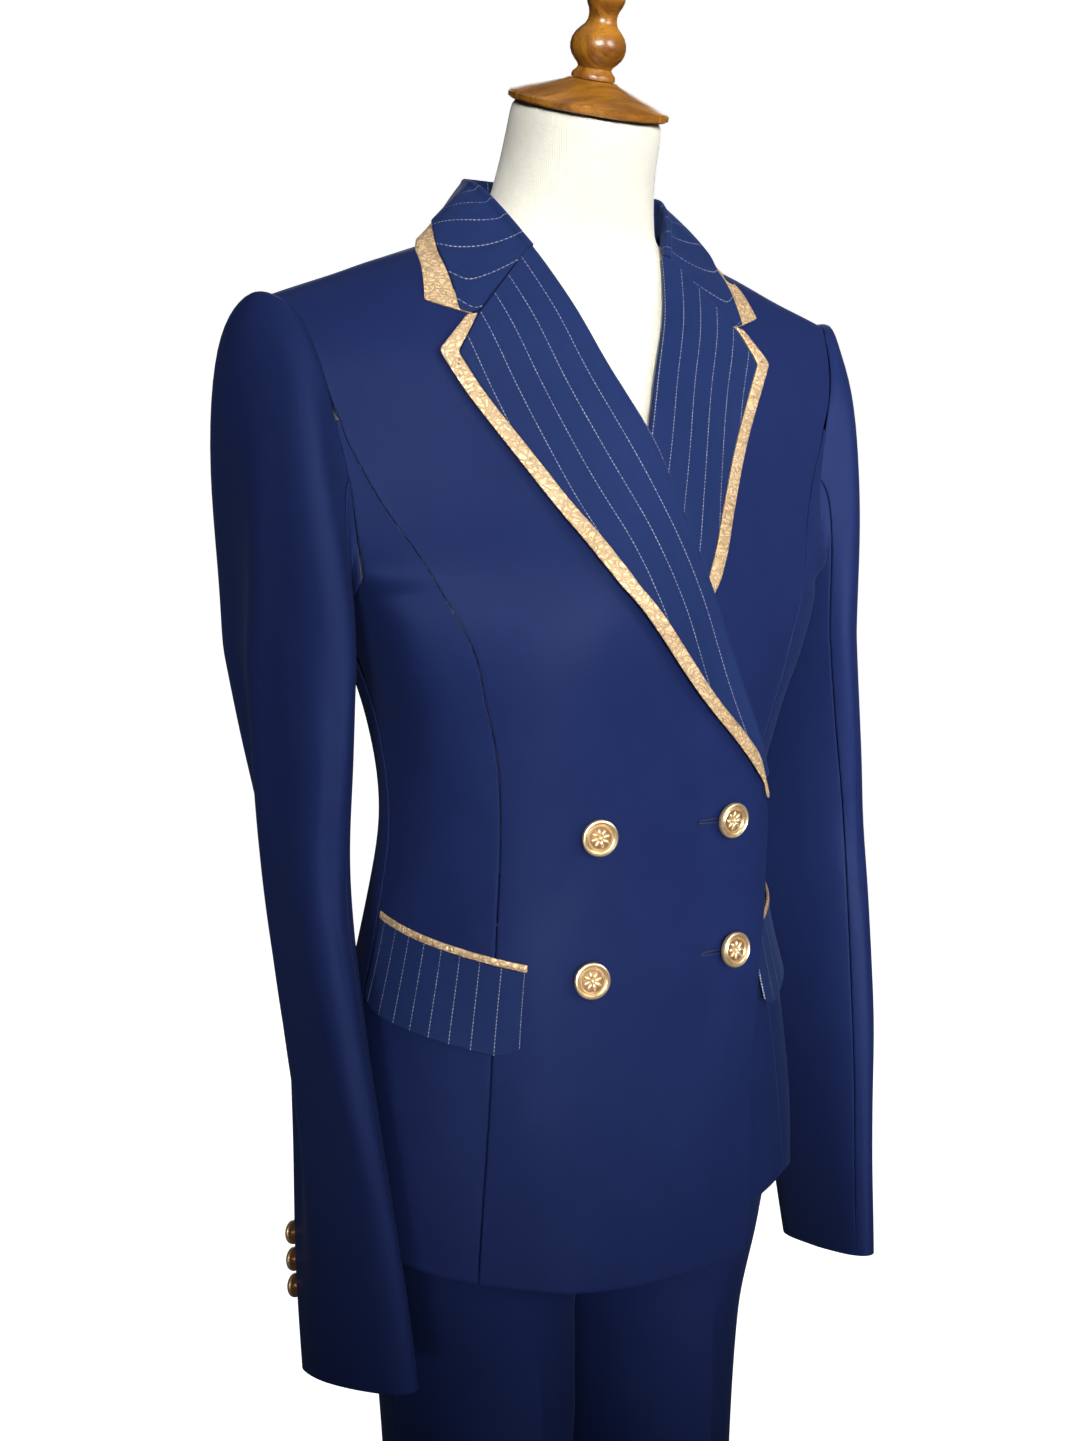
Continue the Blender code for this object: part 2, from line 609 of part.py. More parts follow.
def sleeve_panel(name, sign, first, last):
    """Top sleeve or under sleeve, between two of the armhole's steps."""
    rows = [i / CAP_ROWS for i in range(CAP_ROWS)] + [1 + i / ARM_ROWS for i in range(ARM_ROWS + 1)]

    def place(across, up, depth):
        down = pick(rows[::-1], up)
        step = round(mix(first, last, across))
        point = sleeve_point(step, down, -depth * JACKET_WALL)
        if step in (first, last):
            point += seam_side(step, down) * (SEAM * 0.55 if step == first else -SEAM * 0.55)
        return Vector((point.x * sign, point.y, point.z))

    return cloth(name, place, last - first, len(rows) - 1, NAVY)


for side, sign in (("right", -1), ("left", 1)):
    sleeve_panel(f"{side}_top_sleeve", sign, *TOP_SLEEVE)
    sleeve_panel(f"{side}_under_sleeve", sign, TOP_SLEEVE[1], TOP_SLEEVE[0] + 2 * (len(ARMHOLE_RISES) - 1))


# ---- Lapels ----
def lapel_edge(z):
    """How far from centre front the lapel's outer edge lies, on its own side."""
    return read(LAPEL, LAPEL_COLUMNS, "edge_x", z)


def lapel_inner(z):
    """Inner edge of the lapel's leather strip, on its own side."""
    return max(lapel_edge(z) - LAPEL_TRIM * 1.23, -roll_x(z) + 0.0022)


def lapel_point(sign, own_x, z, out):
    """Point over a front, at a distance from centre front on the lapel's own side."""
    x = own_x * sign
    lift = right_lift(x, z) if sign < 0 else 0.0
    return front_at(x, z, lift + out)


def over_right(x, z, out):
    """Point over the right front as it stands, moved out square to it."""
    def place(a, b):
        return tuple(front_at(x + a, z + b, right_lift(x + a, z + b)))

    return moved_out(place, 0.004, 0.004, out)


def lapel_cloth(name, sign, parts):
    """The pinstripe part of a lapel, between the roll line and its leather strip."""
    columns = 6
    inset = SEAM * 1.4
    corner = (lapel_inner(LAPEL_POINT[1]) - inset, LAPEL_POINT[1] - 0.001)
    gorge = (NOTCH[0] - inset, NOTCH[1] - inset)

    def place(across, up, depth):
        part = pick(parts, up)
        roll_z = mix(BREAK[1], ROLL_TOP[1] - inset, part)
        edge_z = mix(BREAK[1], corner[1], part)
        roll = (-roll_x(roll_z), roll_z)
        edge = (max(lapel_inner(edge_z) - inset, roll[0] + 0.0015), edge_z)
        x, z = mix(roll[0], edge[0], across), mix(roll[1], edge[1], across)
        if up > 0.999:
            before = across < 1 - 0.9 / columns
            spot = across / (1 - 1 / columns) if before else across * columns - columns + 1
            x, z = (mix(low, high, spot) for low, high in (zip(roll, gorge) if before else zip(gorge, corner)))
        return lapel_point(sign, x, z, REST + LAPEL_WALL * (1 - depth))

    return cloth(name, place, columns, len(parts) - 1, PINSTRIPE)


def lapel_trim(name, sign, parts):
    """Leather strip, from the notch round the lapel's point and down its edge."""
    turn = 3

    def place(across, up, depth):
        spot = round(up * (len(parts) - 1 + turn))
        if spot <= turn:
            part = spot / turn
            inner = (mix(NOTCH[0], lapel_inner(LAPEL_POINT[1]), part), mix(NOTCH[1], LAPEL_POINT[1] - 0.001, part))
            outer = (mix(NOTCH[0] + LAPEL_TOP_TRIM, LAPEL_POINT[0], part),
                     mix(NOTCH[1] - 0.0007, LAPEL_POINT[1], part))
        else:
            part = parts[len(parts) - 1 + turn - spot]
            inner_z = mix(BREAK[1], LAPEL_POINT[1] - 0.001, part)
            outer_z = mix(BREAK[1], LAPEL_POINT[1], part)
            inner = (max(lapel_inner(inner_z), -roll_x(inner_z) + 0.0018), inner_z)
            outer = (max(lapel_edge(outer_z), inner[0] + 0.002), outer_z)
        x, z = mix(inner[0], outer[0], across), mix(inner[1], outer[1], across)
        return lapel_point(sign, x, z, REST + TRIM_WALL * (1 - depth))

    return cloth(name, place, 1, len(parts) - 1 + turn, LEATHER)


for side, sign, start, tip in (("right", -1, 0.17, (0.03, 0.075, 0.12)), ("left", 1, LEFT_LAPEL_FROM, ())):
    parts = [mix(start, 1.0, i / 14) for i in range(15)]
    lapel_cloth(f"{side}_lapel", sign, parts)
    lapel_trim(f"{side}_lapel_trim", sign, [*tip, *parts])


# ---- Collar ----
def settled(point, out):
    """Point moved out to the body surface plus a distance, if it lies within that."""
    if point.z > shoulder_height(point.x) - 0.0005:
        return point
    level = level_at(point.x, point.z)
    turn = turn_at(point.x, level)
    if point.y > 0:
        turn = math.copysign(180, turn or 1.0) - turn
    skin = body(turn, level, out)
    return Vector((point.x, min(point.y, skin.y) if point.y <= 0 else max(point.y, skin.y), point.z))


def collar_place(u, v):
    """Point of the collar: u is -1 at the right gorge seam, 0 at centre back, 1 at the left one.

    v is -1 at the stand's lower edge, 0 on the fold and 1 at the fall's outer edge.
    """
    along = 1 - abs(u)
    row = {name: read(COLLAR, COLLAR_COLUMNS, name, along) for name in COLLAR_COLUMNS[1:]}
    fold = Vector((row["fold_x"], row["fold_y"], row["fold_z"]))
    edge = Vector((row["edge_x"], row["edge_y"], row["edge_z"]))
    fall = edge - fold
    outward = Vector((fall.x, fall.y, 0.0)).normalized()
    up = Vector((0.0, -1.0, 0.0)).lerp(Vector((0, 0, 1.0)), row["upright"]).normalized()
    outward = mix(fall.normalized(), outward, row["upright"]).normalized()
    if v <= -0.3:
        place = fold - outward * COLLAR_FOLD - up * row["stand"] * (-v - 0.3) / 0.7
    elif v <= 0.2:
        angle = math.pi * (0.2 - v) / 0.5
        place = fold + (outward * math.cos(angle) + up * math.sin(angle)) * COLLAR_FOLD
    else:
        part = (v - 0.2) / 0.8
        start = fold + outward * COLLAR_FOLD
        bulge = 4 * part * (1 - part) * COLLAR_BULGE
        notch = Vector((NOTCH[0] + 0.0008, 0, NOTCH[1] + 0.0012)) - fold.lerp(edge, COLLAR_NOTCH)
        peak = part / COLLAR_NOTCH if part < COLLAR_NOTCH else (1 - part) / (1 - COLLAR_NOTCH)
        place = start.lerp(edge, part) + up * bulge
        near_gorge = max(1 - along / 0.3, 0.0) ** 1.5
        place += Vector((notch.x, 0, notch.z)) * peak * near_gorge
        place = settled(place, REST + TRIM_WALL + 0.0002)
    return (math.copysign(place.x, u) if u else 0.0, place.y, place.z)


def collar_point(u, v, out):
    """Point of the collar moved out, away from the inside of its fold."""
    return moved_out(lambda a, b: collar_place(u + a, v + b), -1e-4 if u > 0.999 else 1e-4,
                     1e-4 if v < 0.15 or 0.2 <= v < 0.99 else -1e-4, -out)


def collar_cloth():
    """Stand and fall in one wall, folded over, up to the leather strip."""
    across_spots = (-1.0, -0.3, -0.135, 0.035, 0.2, 0.40, 0.62, COLLAR_TRIM_FROM)
    along_count = 24

    def place(across, up, depth):
        u = mix(-1.0, 1.0, across)
        v = pick(across_spots, up)
        if v == across_spots[-1]:
            v -= 0.006
        return collar_point(u * (1 - 0.004), v, -depth * LAPEL_WALL)

    return cloth("collar", place, along_count, len(across_spots) - 1, PINSTRIPE)


def collar_trim():
    """Leather strip round the collar's outer edge and its two front ends."""
    along_count = 24

    def place(across, up, depth):
        u = mix(-1.0, 1.0, across) * (1 - 0.004)
        return collar_point(u, mix(COLLAR_TRIM_FROM, 1.0, up), 0.0004 - depth * TRIM_WALL)

    return cloth("collar_trim", place, along_count, 1, LEATHER)


collar_cloth()
collar_trim()


# ---- Pocket flaps ----
def flap_point(sign, turn, z, out):
    """Point over a pocket, on the jacket's outer face."""
    x, _, _ = body_place(turn * sign, z)
    lift = right_lift(x, z) if sign < 0 else 0.0
    return body(turn * sign, z, lift + out)


def pocket_flap(side, sign):
    """Pinstripe flap with its leather welt along the top."""
    def flap(across, up, depth):
        turn = mix(*FLAP_TURNS, across)
        top = mix(*FLAP_TOP, across)
        corner = 0.006 * max(1 - across * 8, across * 8 - 7, 0.0) ** 2
        z = mix(top - FLAP_HEIGHT + corner, top - SEAM, up)
        return flap_point(sign, turn, z, REST / 2 + FLAP_WALL * (1 - depth))

    def welt(across, up, depth):
        turn = mix(FLAP_TURNS[0] - 0.5, FLAP_TURNS[1] + 0.5, across)
        z = mix(*FLAP_TOP, across) + WELT_HEIGHT * up
        return flap_point(sign, turn, z, REST / 2 + TRIM_WALL * (1 - depth))

    cloth(f"{side}_flap", flap, 8, 3, PINSTRIPE)
    cloth(f"{side}_flap_welt", welt, 8, 1, LEATHER)


for side, sign in (("right", -1), ("left", 1)):
    pocket_flap(side, sign)


# ---- Buttons ----
def button(name, place, facing, profile, segments):
    """A turned shank button with its back at a place."""
    turn = Vector((0, 0, 1)).rotation_difference(facing.normalized()).to_matrix().to_4x4()
    return turned(name, profile, segments, GOLD, Matrix.Translation(place) @ turn)


FRONT_BUTTON = ((0.0, 0.0), (0.0030, 0.0), (0.0030, 0.0022), (0.0098, 0.0024), (BUTTON_RADIUS, 0.0038),
                (0.0104, 0.0054), (0.0086, 0.0050), (0.0, 0.0062))
CUFF_BUTTON = ((0.0, 0.0), (0.0022, 0.0), (0.0022, 0.0016), (0.0066, 0.0018), (CUFF_BUTTON_RADIUS, 0.0030),
               (0.0062, 0.0043), (0.0, 0.0052))
for which, x, z in BUTTONS:
    seat = over_right(x, z, SEAM + 0.0004)
    button(f"front_button_{which}", seat, over_right(x, z, 1.0) - seat, FRONT_BUTTON, 16)
for side, sign in (("right", -1), ("left", 1)):
    mirror = Vector((sign, 1, 1))
    for number, height in enumerate(CUFF_BUTTON_HEIGHTS, 1):
        down = 1 + (SLEEVE[-1][0] - height) / (SLEEVE[-1][0] - SLEEVE[0][0])
        seat = sleeve_point(CUFF_BUTTON_STEP, down, SEAM)
        facing = (sleeve_point(CUFF_BUTTON_STEP, down, 1.0) - seat) * mirror
        button(f"{side}_cuff_button_{number}", seat * mirror, facing, CUFF_BUTTON, 12)


# ---- Trousers ----
LEG_HEIGHTS = (TROUSER_HEM, 0.190, 0.320, 0.450, 0.560, 0.650, 0.735, CROTCH,
               0.809, 0.822, 0.836, 0.850, HIP, 0.920, 0.975, WAIST_TOP - WAISTBAND - SEAM)


def leg_panel(name, sign, front):
    """Front or back of one leg, from the side seam to the inseam and the centre seam above it."""
    columns = 8
    facing = -1 if front else 1

    def place(across, up, depth):
        z = pick(LEG_HEIGHTS, up)
        wall = depth * TROUSER_WALL
        if z > HIP:
            reach = body_place(90, z)[0] - TROUSER_INSET
            start = 90 - math.degrees(SEAM / 2 / 0.1)
            turn = mix(start, math.degrees(math.asin(SEAM / 2 / reach)), across)
            point = body((turn if front else 180 - turn) * sign, z, -TROUSER_INSET - wall)
            point.x = sign * max(abs(point.x), SEAM / 2)
            point.z = z
            return point
        x, half, y, deep_front, deep_back = (read(TROUSERS, TROUSER_COLUMNS, key, z) for key in TROUSER_COLUMNS[1:])
        deep = deep_front if front else deep_back
        gap = SEAM / 2 / deep
        end = -math.asin(min((x - SEAM / 2) / half, math.cos(gap)))
        angle = mix(math.pi / 2 - gap, end, across)
        out = CREASE * (1 - smooth((z - 0.70) / 0.08)) if abs(across - 0.5) < 0.01 else 0.0
        normal = Vector((math.sin(angle) * deep, facing * math.cos(angle) * half, 0.0)).normalized()
        point = Vector((x + half * math.sin(angle), y + facing * deep * math.cos(angle), z))
        point += normal * (out - wall)
        if z > CROTCH - 0.001:
            point.x = max(point.x, SEAM / 2)
        return Vector((point.x * sign, point.y, point.z))

    return cloth(name, place, columns, len(LEG_HEIGHTS) - 1, NAVY)


for side, sign in (("right", -1), ("left", 1)):
    leg_panel(f"trouser_{side}_front", sign, True)
    leg_panel(f"trouser_{side}_back", sign, False)

# Waistband, one ring.
band = bmesh.new()
bmesh.ops.create_cone(band, cap_ends=False, segments=48, radius1=1, radius2=1, depth=2)
inner_ring = bmesh.ops.extrude_face_region(band, geom=band.faces[:], use_keep_orig=True)
inner_verts = {item for item in inner_ring["geom"] if isinstance(item, bmesh.types.BMVert)}
for vertex in band.verts:
    turn = math.degrees(math.atan2(vertex.co.x, -vertex.co.y))
    height = WAIST_TOP - (WAISTBAND if vertex.co.z < 0 else 0.0)
    vertex.co = body(turn, height, -0.0054 if vertex in inner_verts else -0.0036)
    vertex.co.z = height
add_object("trouser_waistband", band, NAVY)


# ---- Dress form ----
FORM_COLUMNS = ("height", "inset")
FORM = (
    (0.865, 0.0085),
    (1.015, 0.0085),
    (1.030, 0.0060),
    (1.062, 0.0060),
    (1.085, 0.0065),
    (1.125, 0.0080),
    (1.300, 0.0080),
    (1.385, 0.0033),
)
NECK_COLUMNS = ("height", "half_width", "half_depth", "y", "tilt")
NECK = (
    (1.340, 0.0760, 0.0260, 0.002, 0.0),
    (1.400, 0.0680, 0.0350, 0.001, 3.0),
    (1.425, 0.0590, 0.0390, -0.001, 6.0),
    (1.445, 0.0530, 0.0420, -0.005, 10.0),
    (1.465, 0.0480, 0.0445, -0.011, 14.0),
    (1.484, 0.0458, 0.0455, -0.0175, 18.4),
    (CAP_CENTRE[2] - SEAM, 0.0450, 0.0450, CAP_CENTRE[1] + 0.0001, 18.4),
)
CAP_PROFILE = ((0.0, 0.0), (CAP_RADIUS - 0.001, 0.0), (CAP_RADIUS, 0.001), (CAP_RADIUS, 0.0035),
               (CAP_RADIUS - 0.0025, 0.0050), (0.0300, 0.0105), (0.0145, 0.0165), (0.0, 0.0165))
FINIAL_PROFILE = ((0.0, 0.0168), (0.0130, 0.0168), (0.0130, 0.0200), (0.0100, 0.0230), (0.0150, 0.0290),
                  (0.0165, 0.0350), (0.0145, 0.0415), (0.0090, 0.0470), (0.0085, 0.0530), (0.0115, 0.0600),
                  (0.0105, 0.0640), (0.0, 0.0655))
FORM_BACK_INSET = 0.0015
FORM_LEVELS = (HIP, 0.920, 0.975, 1.015, WAIST_TOP - WAISTBAND, WAIST_TOP, 1.085, 1.130, 1.175)


def form_place(across, up, depth):
    """Torso of the form: depth 0 is its front, 1 its back; the armholes are closed flat."""
    levels = [*FORM_LEVELS, *(UNDERARM + rise * (SHOULDER_TIP[1] - UNDERARM) for rise in ARMHOLE_RISES[:-1]),
              UNDERARM + 0.995 * (SHOULDER_TIP[1] - UNDERARM)]
    level = pick(levels, up)
    turn = mix(-88, 88, across)
    if depth > 0.5:
        turn = math.copysign(180, turn or 1.0) - turn
    inset = read(FORM, FORM_COLUMNS, "inset", level) + (FORM_BACK_INSET if depth > 0.5 and level > 1.3 else 0.0)
    point = body(turn, level, -inset)
    if level <= UNDERARM:
        point.z = level
    return point


torso = cloth("dress_form", form_place, 22, len(FORM_LEVELS) + len(ARMHOLE_RISES) - 1, JERSEY)


def neck_ring(height, half_width, half_depth, y, tilt):
    """Ring of the neck, tipped forward by a tilt in degrees."""
    turn = math.radians(tilt)
    ring = []
    for i in range(24):
        angle = 2 * math.pi * i / 24
        forward = half_depth * math.cos(angle)
        ring.append((half_width * math.sin(angle), y - forward * math.cos(turn), height - forward * math.sin(turn)))
    return ring


neck = loft("neck", [neck_ring(*row) for row in NECK], JERSEY)
join = torso.modifiers.new("neck", "BOOLEAN")
join.operation, join.solver, join.object = "UNION", "EXACT", neck
neck.hide_render = True
neck.hide_set(True)

tipped = Matrix.Translation(CAP_CENTRE) @ Matrix.Rotation(CAP_TILT, 4, "X")
turned("neck_cap", CAP_PROFILE, 32, WOOD, tipped)
turned("finial", FINIAL_PROFILE, 24, WOOD, tipped)


# ---- Stand ----
pole = [(0.0, BASE_HEIGHT + SEAM), (POLE_RADIUS, BASE_HEIGHT + SEAM), (POLE_RADIUS, HIP - SEAM), (0.0, HIP - SEAM)]
turned("pole", pole, 16, WOOD, Matrix.Translation((*POLE_PLACE, 0.0)))
base = [(0.0, 0.0), (BASE_RADIUS - 0.003, 0.0), (BASE_RADIUS, 0.003), (BASE_RADIUS, 0.010),
        (BASE_RADIUS - 0.010, BASE_HEIGHT), (0.0, BASE_HEIGHT)]
turned("base", base, 32, WOOD)
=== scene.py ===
import functools
import math

import bmesh
import bpy
from mathutils import Matrix, Vector


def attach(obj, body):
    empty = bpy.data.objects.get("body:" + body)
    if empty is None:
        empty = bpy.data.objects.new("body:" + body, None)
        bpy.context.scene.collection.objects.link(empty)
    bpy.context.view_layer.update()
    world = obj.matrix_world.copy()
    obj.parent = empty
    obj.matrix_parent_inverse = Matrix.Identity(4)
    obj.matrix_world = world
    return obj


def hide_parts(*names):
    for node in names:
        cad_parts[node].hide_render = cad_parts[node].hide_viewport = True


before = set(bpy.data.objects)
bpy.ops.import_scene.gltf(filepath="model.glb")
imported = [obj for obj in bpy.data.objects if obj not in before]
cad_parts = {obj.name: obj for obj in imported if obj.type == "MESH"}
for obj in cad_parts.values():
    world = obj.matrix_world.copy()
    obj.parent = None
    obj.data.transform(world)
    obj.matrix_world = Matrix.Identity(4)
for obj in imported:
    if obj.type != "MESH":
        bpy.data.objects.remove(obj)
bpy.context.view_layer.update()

SIDES = (("right", -1), ("left", 1))    # the wearer's, and which way x runs to them
JACKET_WALL = 0.0020
SEAM = 0.00003                  # between two pieces at a seam, where their rounded edges meet
SEAM_DIP = 0.0004               # how far the cloth turns in where it is sewn
OVERLAP_LIFT = 0.0068           # the right front stands this far off the left front it covers
LIFT_FADE = 0.050
ROLL_LIFT = 0.005
EDGE_LIFT = 0.010
UNDERARM = 1.215
SHOULDER_TIP = (0.196, 1.385)   # x and z of the outer end of the shoulder seam
SHOULDER_SLOPE = 0.36
SHOULDER_ROUND = 0.03
NECK_POINT = 0.066
BREAK = (0.0735, 1.091)         # x and z where the lapel's roll line leaves the front edge
ROLL_CROSS = 1.298
ROLL_TOP = (0.0480, 1.4165)
HEM_FRONT = 0.816
HEM_SIDE_RISE = 0.028
PRINCESS_RISE = 0.57
SIDE_TIP = 1.2
BACK_NECK_RISE = 0.90
BACK_HEM_RISE = 0.012
COVERED_HEM_RISE = 0.022
CENTRE_ROUND = 0.20
CORNER_START = 0.88
EASE_LEVEL = 1.212              # the cloth is pressed smooth round this level
EASE_STEP = 0.010
EASE_WEIGHTS = (1, 2, 3, 4, 3, 2, 1)
FRONT_SIDE, BACK_SIDE = 89.999, 90.001
RIDGE_END = 0.99995
PRINCESS_TOP = UNDERARM + PRINCESS_RISE * (SHOULDER_TIP[1] - UNDERARM)
BODY_COLUMNS = ("height", "half_width", "front", "back", "roundness", "front_corner")
BODY = (
    (0.780, 0.160, 0.116, 0.122, 1.00, 0.000),
    (0.840, 0.160, 0.114, 0.123, 1.00, 0.000),
    (0.900, 0.157, 0.110, 0.120, 1.00, 0.000),
    (0.960, 0.149, 0.105, 0.112, 1.00, 0.000),
    (1.030, 0.134, 0.101, 0.094, 1.00, 0.000),
    (1.085, 0.1255, 0.100, 0.084, 1.00, 0.010),
    (1.140, 0.132, 0.103, 0.087, 0.95, 0.034),
    (1.190, 0.149, 0.109, 0.095, 0.85, 0.046),
    (1.215, 0.158, 0.110, 0.098, 0.70, 0.046),
)
CHEST_COLUMNS = ("rise", "armhole_x", "front", "front_armhole", "back", "back_armhole", "roundness")
CHEST = (
    (0.00, 0.158, 0.110, 0.000, 0.098, 0.000, 0.70),
    (0.06, 0.1635, 0.108, 0.046, 0.100, 0.046, 0.55),
    (0.20, 0.1645, 0.098, 0.0450, 0.103, 0.066, 0.25),
    (0.38, 0.1665, 0.086, 0.0415, 0.103, 0.072, 0.05),
    (0.57, 0.1730, 0.072, 0.0385, 0.098, 0.072, 0.00),
    (0.72, 0.1785, 0.0635, 0.0375, 0.091, 0.066, 0.00),
    (0.84, 0.1830, 0.0540, 0.0330, 0.084, 0.056, 0.00),
    (0.93, 0.1870, 0.0490, 0.0290, 0.078, 0.047, 0.00),
    (1.00, 0.1950, 0.0460, 0.0260, 0.074, 0.040, 0.00),
)
PRINCESS_COLUMNS = ("level", "front_turn", "back_turn")
PRINCESS = (
    (0.780, 45.0, 138.0),
    (0.820, 44.7, 138.0),
    (0.903, 42.5, 137.3),
    (0.955, 42.1, 137.0),
    (1.018, 43.7, 136.5),
    (1.075, 45.6, 136.0),
    (1.150, 48.7, 134.0),
    (1.184, 54.2, 132.0),
    (1.212, 64.6, 129.5),
    (1.237, 73.3, 125.5),
    (1.268, 82.8, 117.5),
    (1.300, 88.4, 103.0),
    (1.312, 88.8, 92.0),
)
EDGE_COLUMNS = ("height", "edge_x")
EDGE = (
    (0.816, 0.0580),
    (0.859, 0.0600),
    (0.892, 0.0632),
    (0.938, 0.0662),
    (0.993, 0.0690),
    (1.053, 0.0745),
    (1.075, 0.0758),
    (1.091, 0.0735),
)
# Pulls in the right front, each a trough: from_x, from_z, to_x, to_z, half width, depth.
PULLS = (
    (0.040, 1.100, 0.002, 1.150, 0.0070, 0.0016),
    (0.030, 1.094, -0.022, 1.116, 0.0060, 0.0010),
    (0.052, 1.098, 0.060, 1.125, 0.0050, 0.0010),
    (0.028, 1.080, -0.014, 1.066, 0.0075, 0.0008),
    (-0.050, 1.070, -0.090, 1.020, 0.0120, 0.0010),
    (0.040, 0.990, 0.010, 0.930, 0.0100, 0.0008),
)


def read(table, columns, name, at):
    """Value of a named column at a height, with a smooth curve between the table's rows."""
    spot = columns.index(name)
    if at <= table[0][0]:
        return table[0][spot]
    if at >= table[-1][0]:
        return table[-1][spot]
    row = max(i for i in range(len(table) - 1) if table[i][0] <= at)
    low, high = table[row], table[row + 1]
    before, after = table[max(row - 1, 0)], table[min(row + 2, len(table) - 1)]
    span = high[0] - low[0]
    start = (high[spot] - before[spot]) / (high[0] - before[0]) * span
    end = (after[spot] - low[spot]) / (after[0] - low[0]) * span
    t = (at - low[0]) / span
    return ((2 * t**3 - 3 * t**2 + 1) * low[spot] + (t**3 - 2 * t**2 + t) * start
            + (3 * t**2 - 2 * t**3) * high[spot] + (t**3 - t**2) * end)


def mix(low, high, part):
    """Value between low and high."""
    return low + (high - low) * part


def smooth(part):
    """Soft step from 0 to 1."""
    part = min(max(part, 0.0), 1.0)
    return part * part * (3 - 2 * part)


def shoulder_height(x):
    """Height of the shoulder seam at x, rounded over the middle of the body."""
    inward = math.hypot(SHOULDER_TIP[0], SHOULDER_ROUND) - math.hypot(x, SHOULDER_ROUND)
    return SHOULDER_TIP[1] + inward * SHOULDER_SLOPE


def side_share(turn, level):
    """How far across a half of the body a turn reaches: 0 at the centre, 1 at the side or armhole."""
    inward = min(abs(turn), 180 - abs(turn)) / 90
    return mix(math.sin(math.radians(90 * inward)), inward, smooth((level - 1.15) / 0.10))


@functools.lru_cache(maxsize=None)
def body_section(in_front, level):
    """Width, depth, side, corner, roundness and rise of the body's row; rise is None below the armhole."""
    if level <= UNDERARM:
        width, depth, roundness = (read(BODY, BODY_COLUMNS, name, level)
                                   for name in ("half_width", "front" if in_front else "back", "roundness"))
        corner = read(BODY, BODY_COLUMNS, "front_corner", level) if in_front else 0.0
        return width, depth, 0.0, corner, roundness, None
    rise = min((level - UNDERARM) / (SHOULDER_TIP[1] - UNDERARM), 1.0)
    ridge = math.sqrt(max(1 - rise**8, 0.0))
    width, depth, side, roundness = (read(CHEST, CHEST_COLUMNS, name, rise) for name in (
        "armhole_x", "front" if in_front else "back", "front_armhole" if in_front else "back_armhole", "roundness"))
    corner = mix(BODY[-1][-1], side * ridge, smooth(rise / CHEST[1][0])) if in_front else side * ridge
    return width, depth * ridge, side * ridge, corner, roundness, rise


def body_row(turn, level):
    """Point of the jacket's outer face as its rows give it, before it is eased under the arm.

    Turn is in degrees: 0 at centre front, 90 at the wearer's left side, 180 at centre back.  Level is
    the height below the armhole; above it, the height of the same row at the armhole's edge.
    """
    share = side_share(turn, level)
    in_front = abs(turn) <= 90
    width, depth, side, corner, roundness, rise = body_section(in_front, level)
    x = width * share
    z = level if rise is None else UNDERARM + (shoulder_height(x) - UNDERARM) * rise
    if not in_front:
        roundness = mix(roundness, 1.0, 0.6)
    straight = (math.hypot(share, CENTRE_ROUND) - CENTRE_ROUND) / (math.hypot(1, CENTRE_ROUND) - CENTRE_ROUND)
    fall = mix(straight, 1 - math.sqrt(max(1 - share**2, 0.0)), roundness)
    past = max((share - CORNER_START) / (1 - CORNER_START), 0.0)
    y = mix(depth, mix(side, corner, max(1 - past**3, 0.0) ** (1 / 3)), fall)
    return (math.copysign(x, math.sin(math.radians(turn))), -y if in_front else y, z)


def body_place(turn, level):
    """Point of the jacket's outer face, before any offset: pressed smooth over the bust, where the rows change."""
    place = body_row(turn, level)
    near = (1 - smooth((abs(level - EASE_LEVEL) - 0.020) / 0.030)) * (1 - smooth((abs(turn) - 66) / 20))
    if near <= 0:
        return place
    rows = [body_row(turn, min(level + step * EASE_STEP, SHOULDER_TIP[1] - 1e-4)) for step in range(-3, 4)]
    eased_y = sum(row[1] * weight for row, weight in zip(rows, EASE_WEIGHTS)) / sum(EASE_WEIGHTS)
    eased_x = sum(row[0] * weight for row, weight in zip(rows, EASE_WEIGHTS)) / sum(EASE_WEIGHTS)
    return (mix(place[0], eased_x, near), mix(place[1], eased_y, near), place[2])


def cross(a, b):
    """Cross product of two triples."""
    return (a[1] * b[2] - a[2] * b[1], a[2] * b[0] - a[0] * b[2], a[0] * b[1] - a[1] * b[0])


def moved_out(place, first, second, out):
    """Point of a surface moved out by a distance; first and second are a step along each way."""
    here = place(0.0, 0.0)
    along = [b - a for a, b in zip(here, place(first, 0.0))]
    up = [b - a for a, b in zip(here, place(0.0, second))]
    facing = cross(along, up)
    if first * second < 0:
        facing = tuple(-part for part in facing)
    length = math.sqrt(sum(part * part for part in facing))
    return Vector([a + out * part / length for a, part in zip(here, facing)])


def body(turn, level, out=0.0):
    """Point of the body surface moved out by a distance."""
    half = 90 * math.floor(turn / 90 + 1e-9)
    step = 0.05 if turn + 0.05 <= half + 90 else -0.05
    rise = 1e-5 if level + 1e-5 < SHOULDER_TIP[1] and not UNDERARM - 1e-5 < level <= UNDERARM else -1e-5
    return moved_out(lambda a, b: body_place(turn + a, level + b), step, rise, out)


def half_seam(turn, level):
    """Degrees of turn that half of a seam's gap takes up."""
    step = -0.05 if 89 < turn <= 90 else 0.05
    near, far = body_place(turn, level), body_place(turn + step, level)
    return SEAM / 2 / max(math.dist(near, far) / abs(step), 2e-4)


def level_at(x, z):
    """Level of the body surface at x and height z."""
    if z <= UNDERARM:
        return z
    rise = (z - UNDERARM) / (shoulder_height(x) - UNDERARM)
    return UNDERARM + rise * (SHOULDER_TIP[1] - UNDERARM)


def turn_at(x, level):
    """Turn, on the front, of the body surface at x."""
    low, high = 0.0, 90.0
    for _ in range(24):
        middle = (low + high) / 2
        if abs(body_place(middle, level)[0]) < abs(x):
            low = middle
        else:
            high = middle
    return math.copysign(low, x)


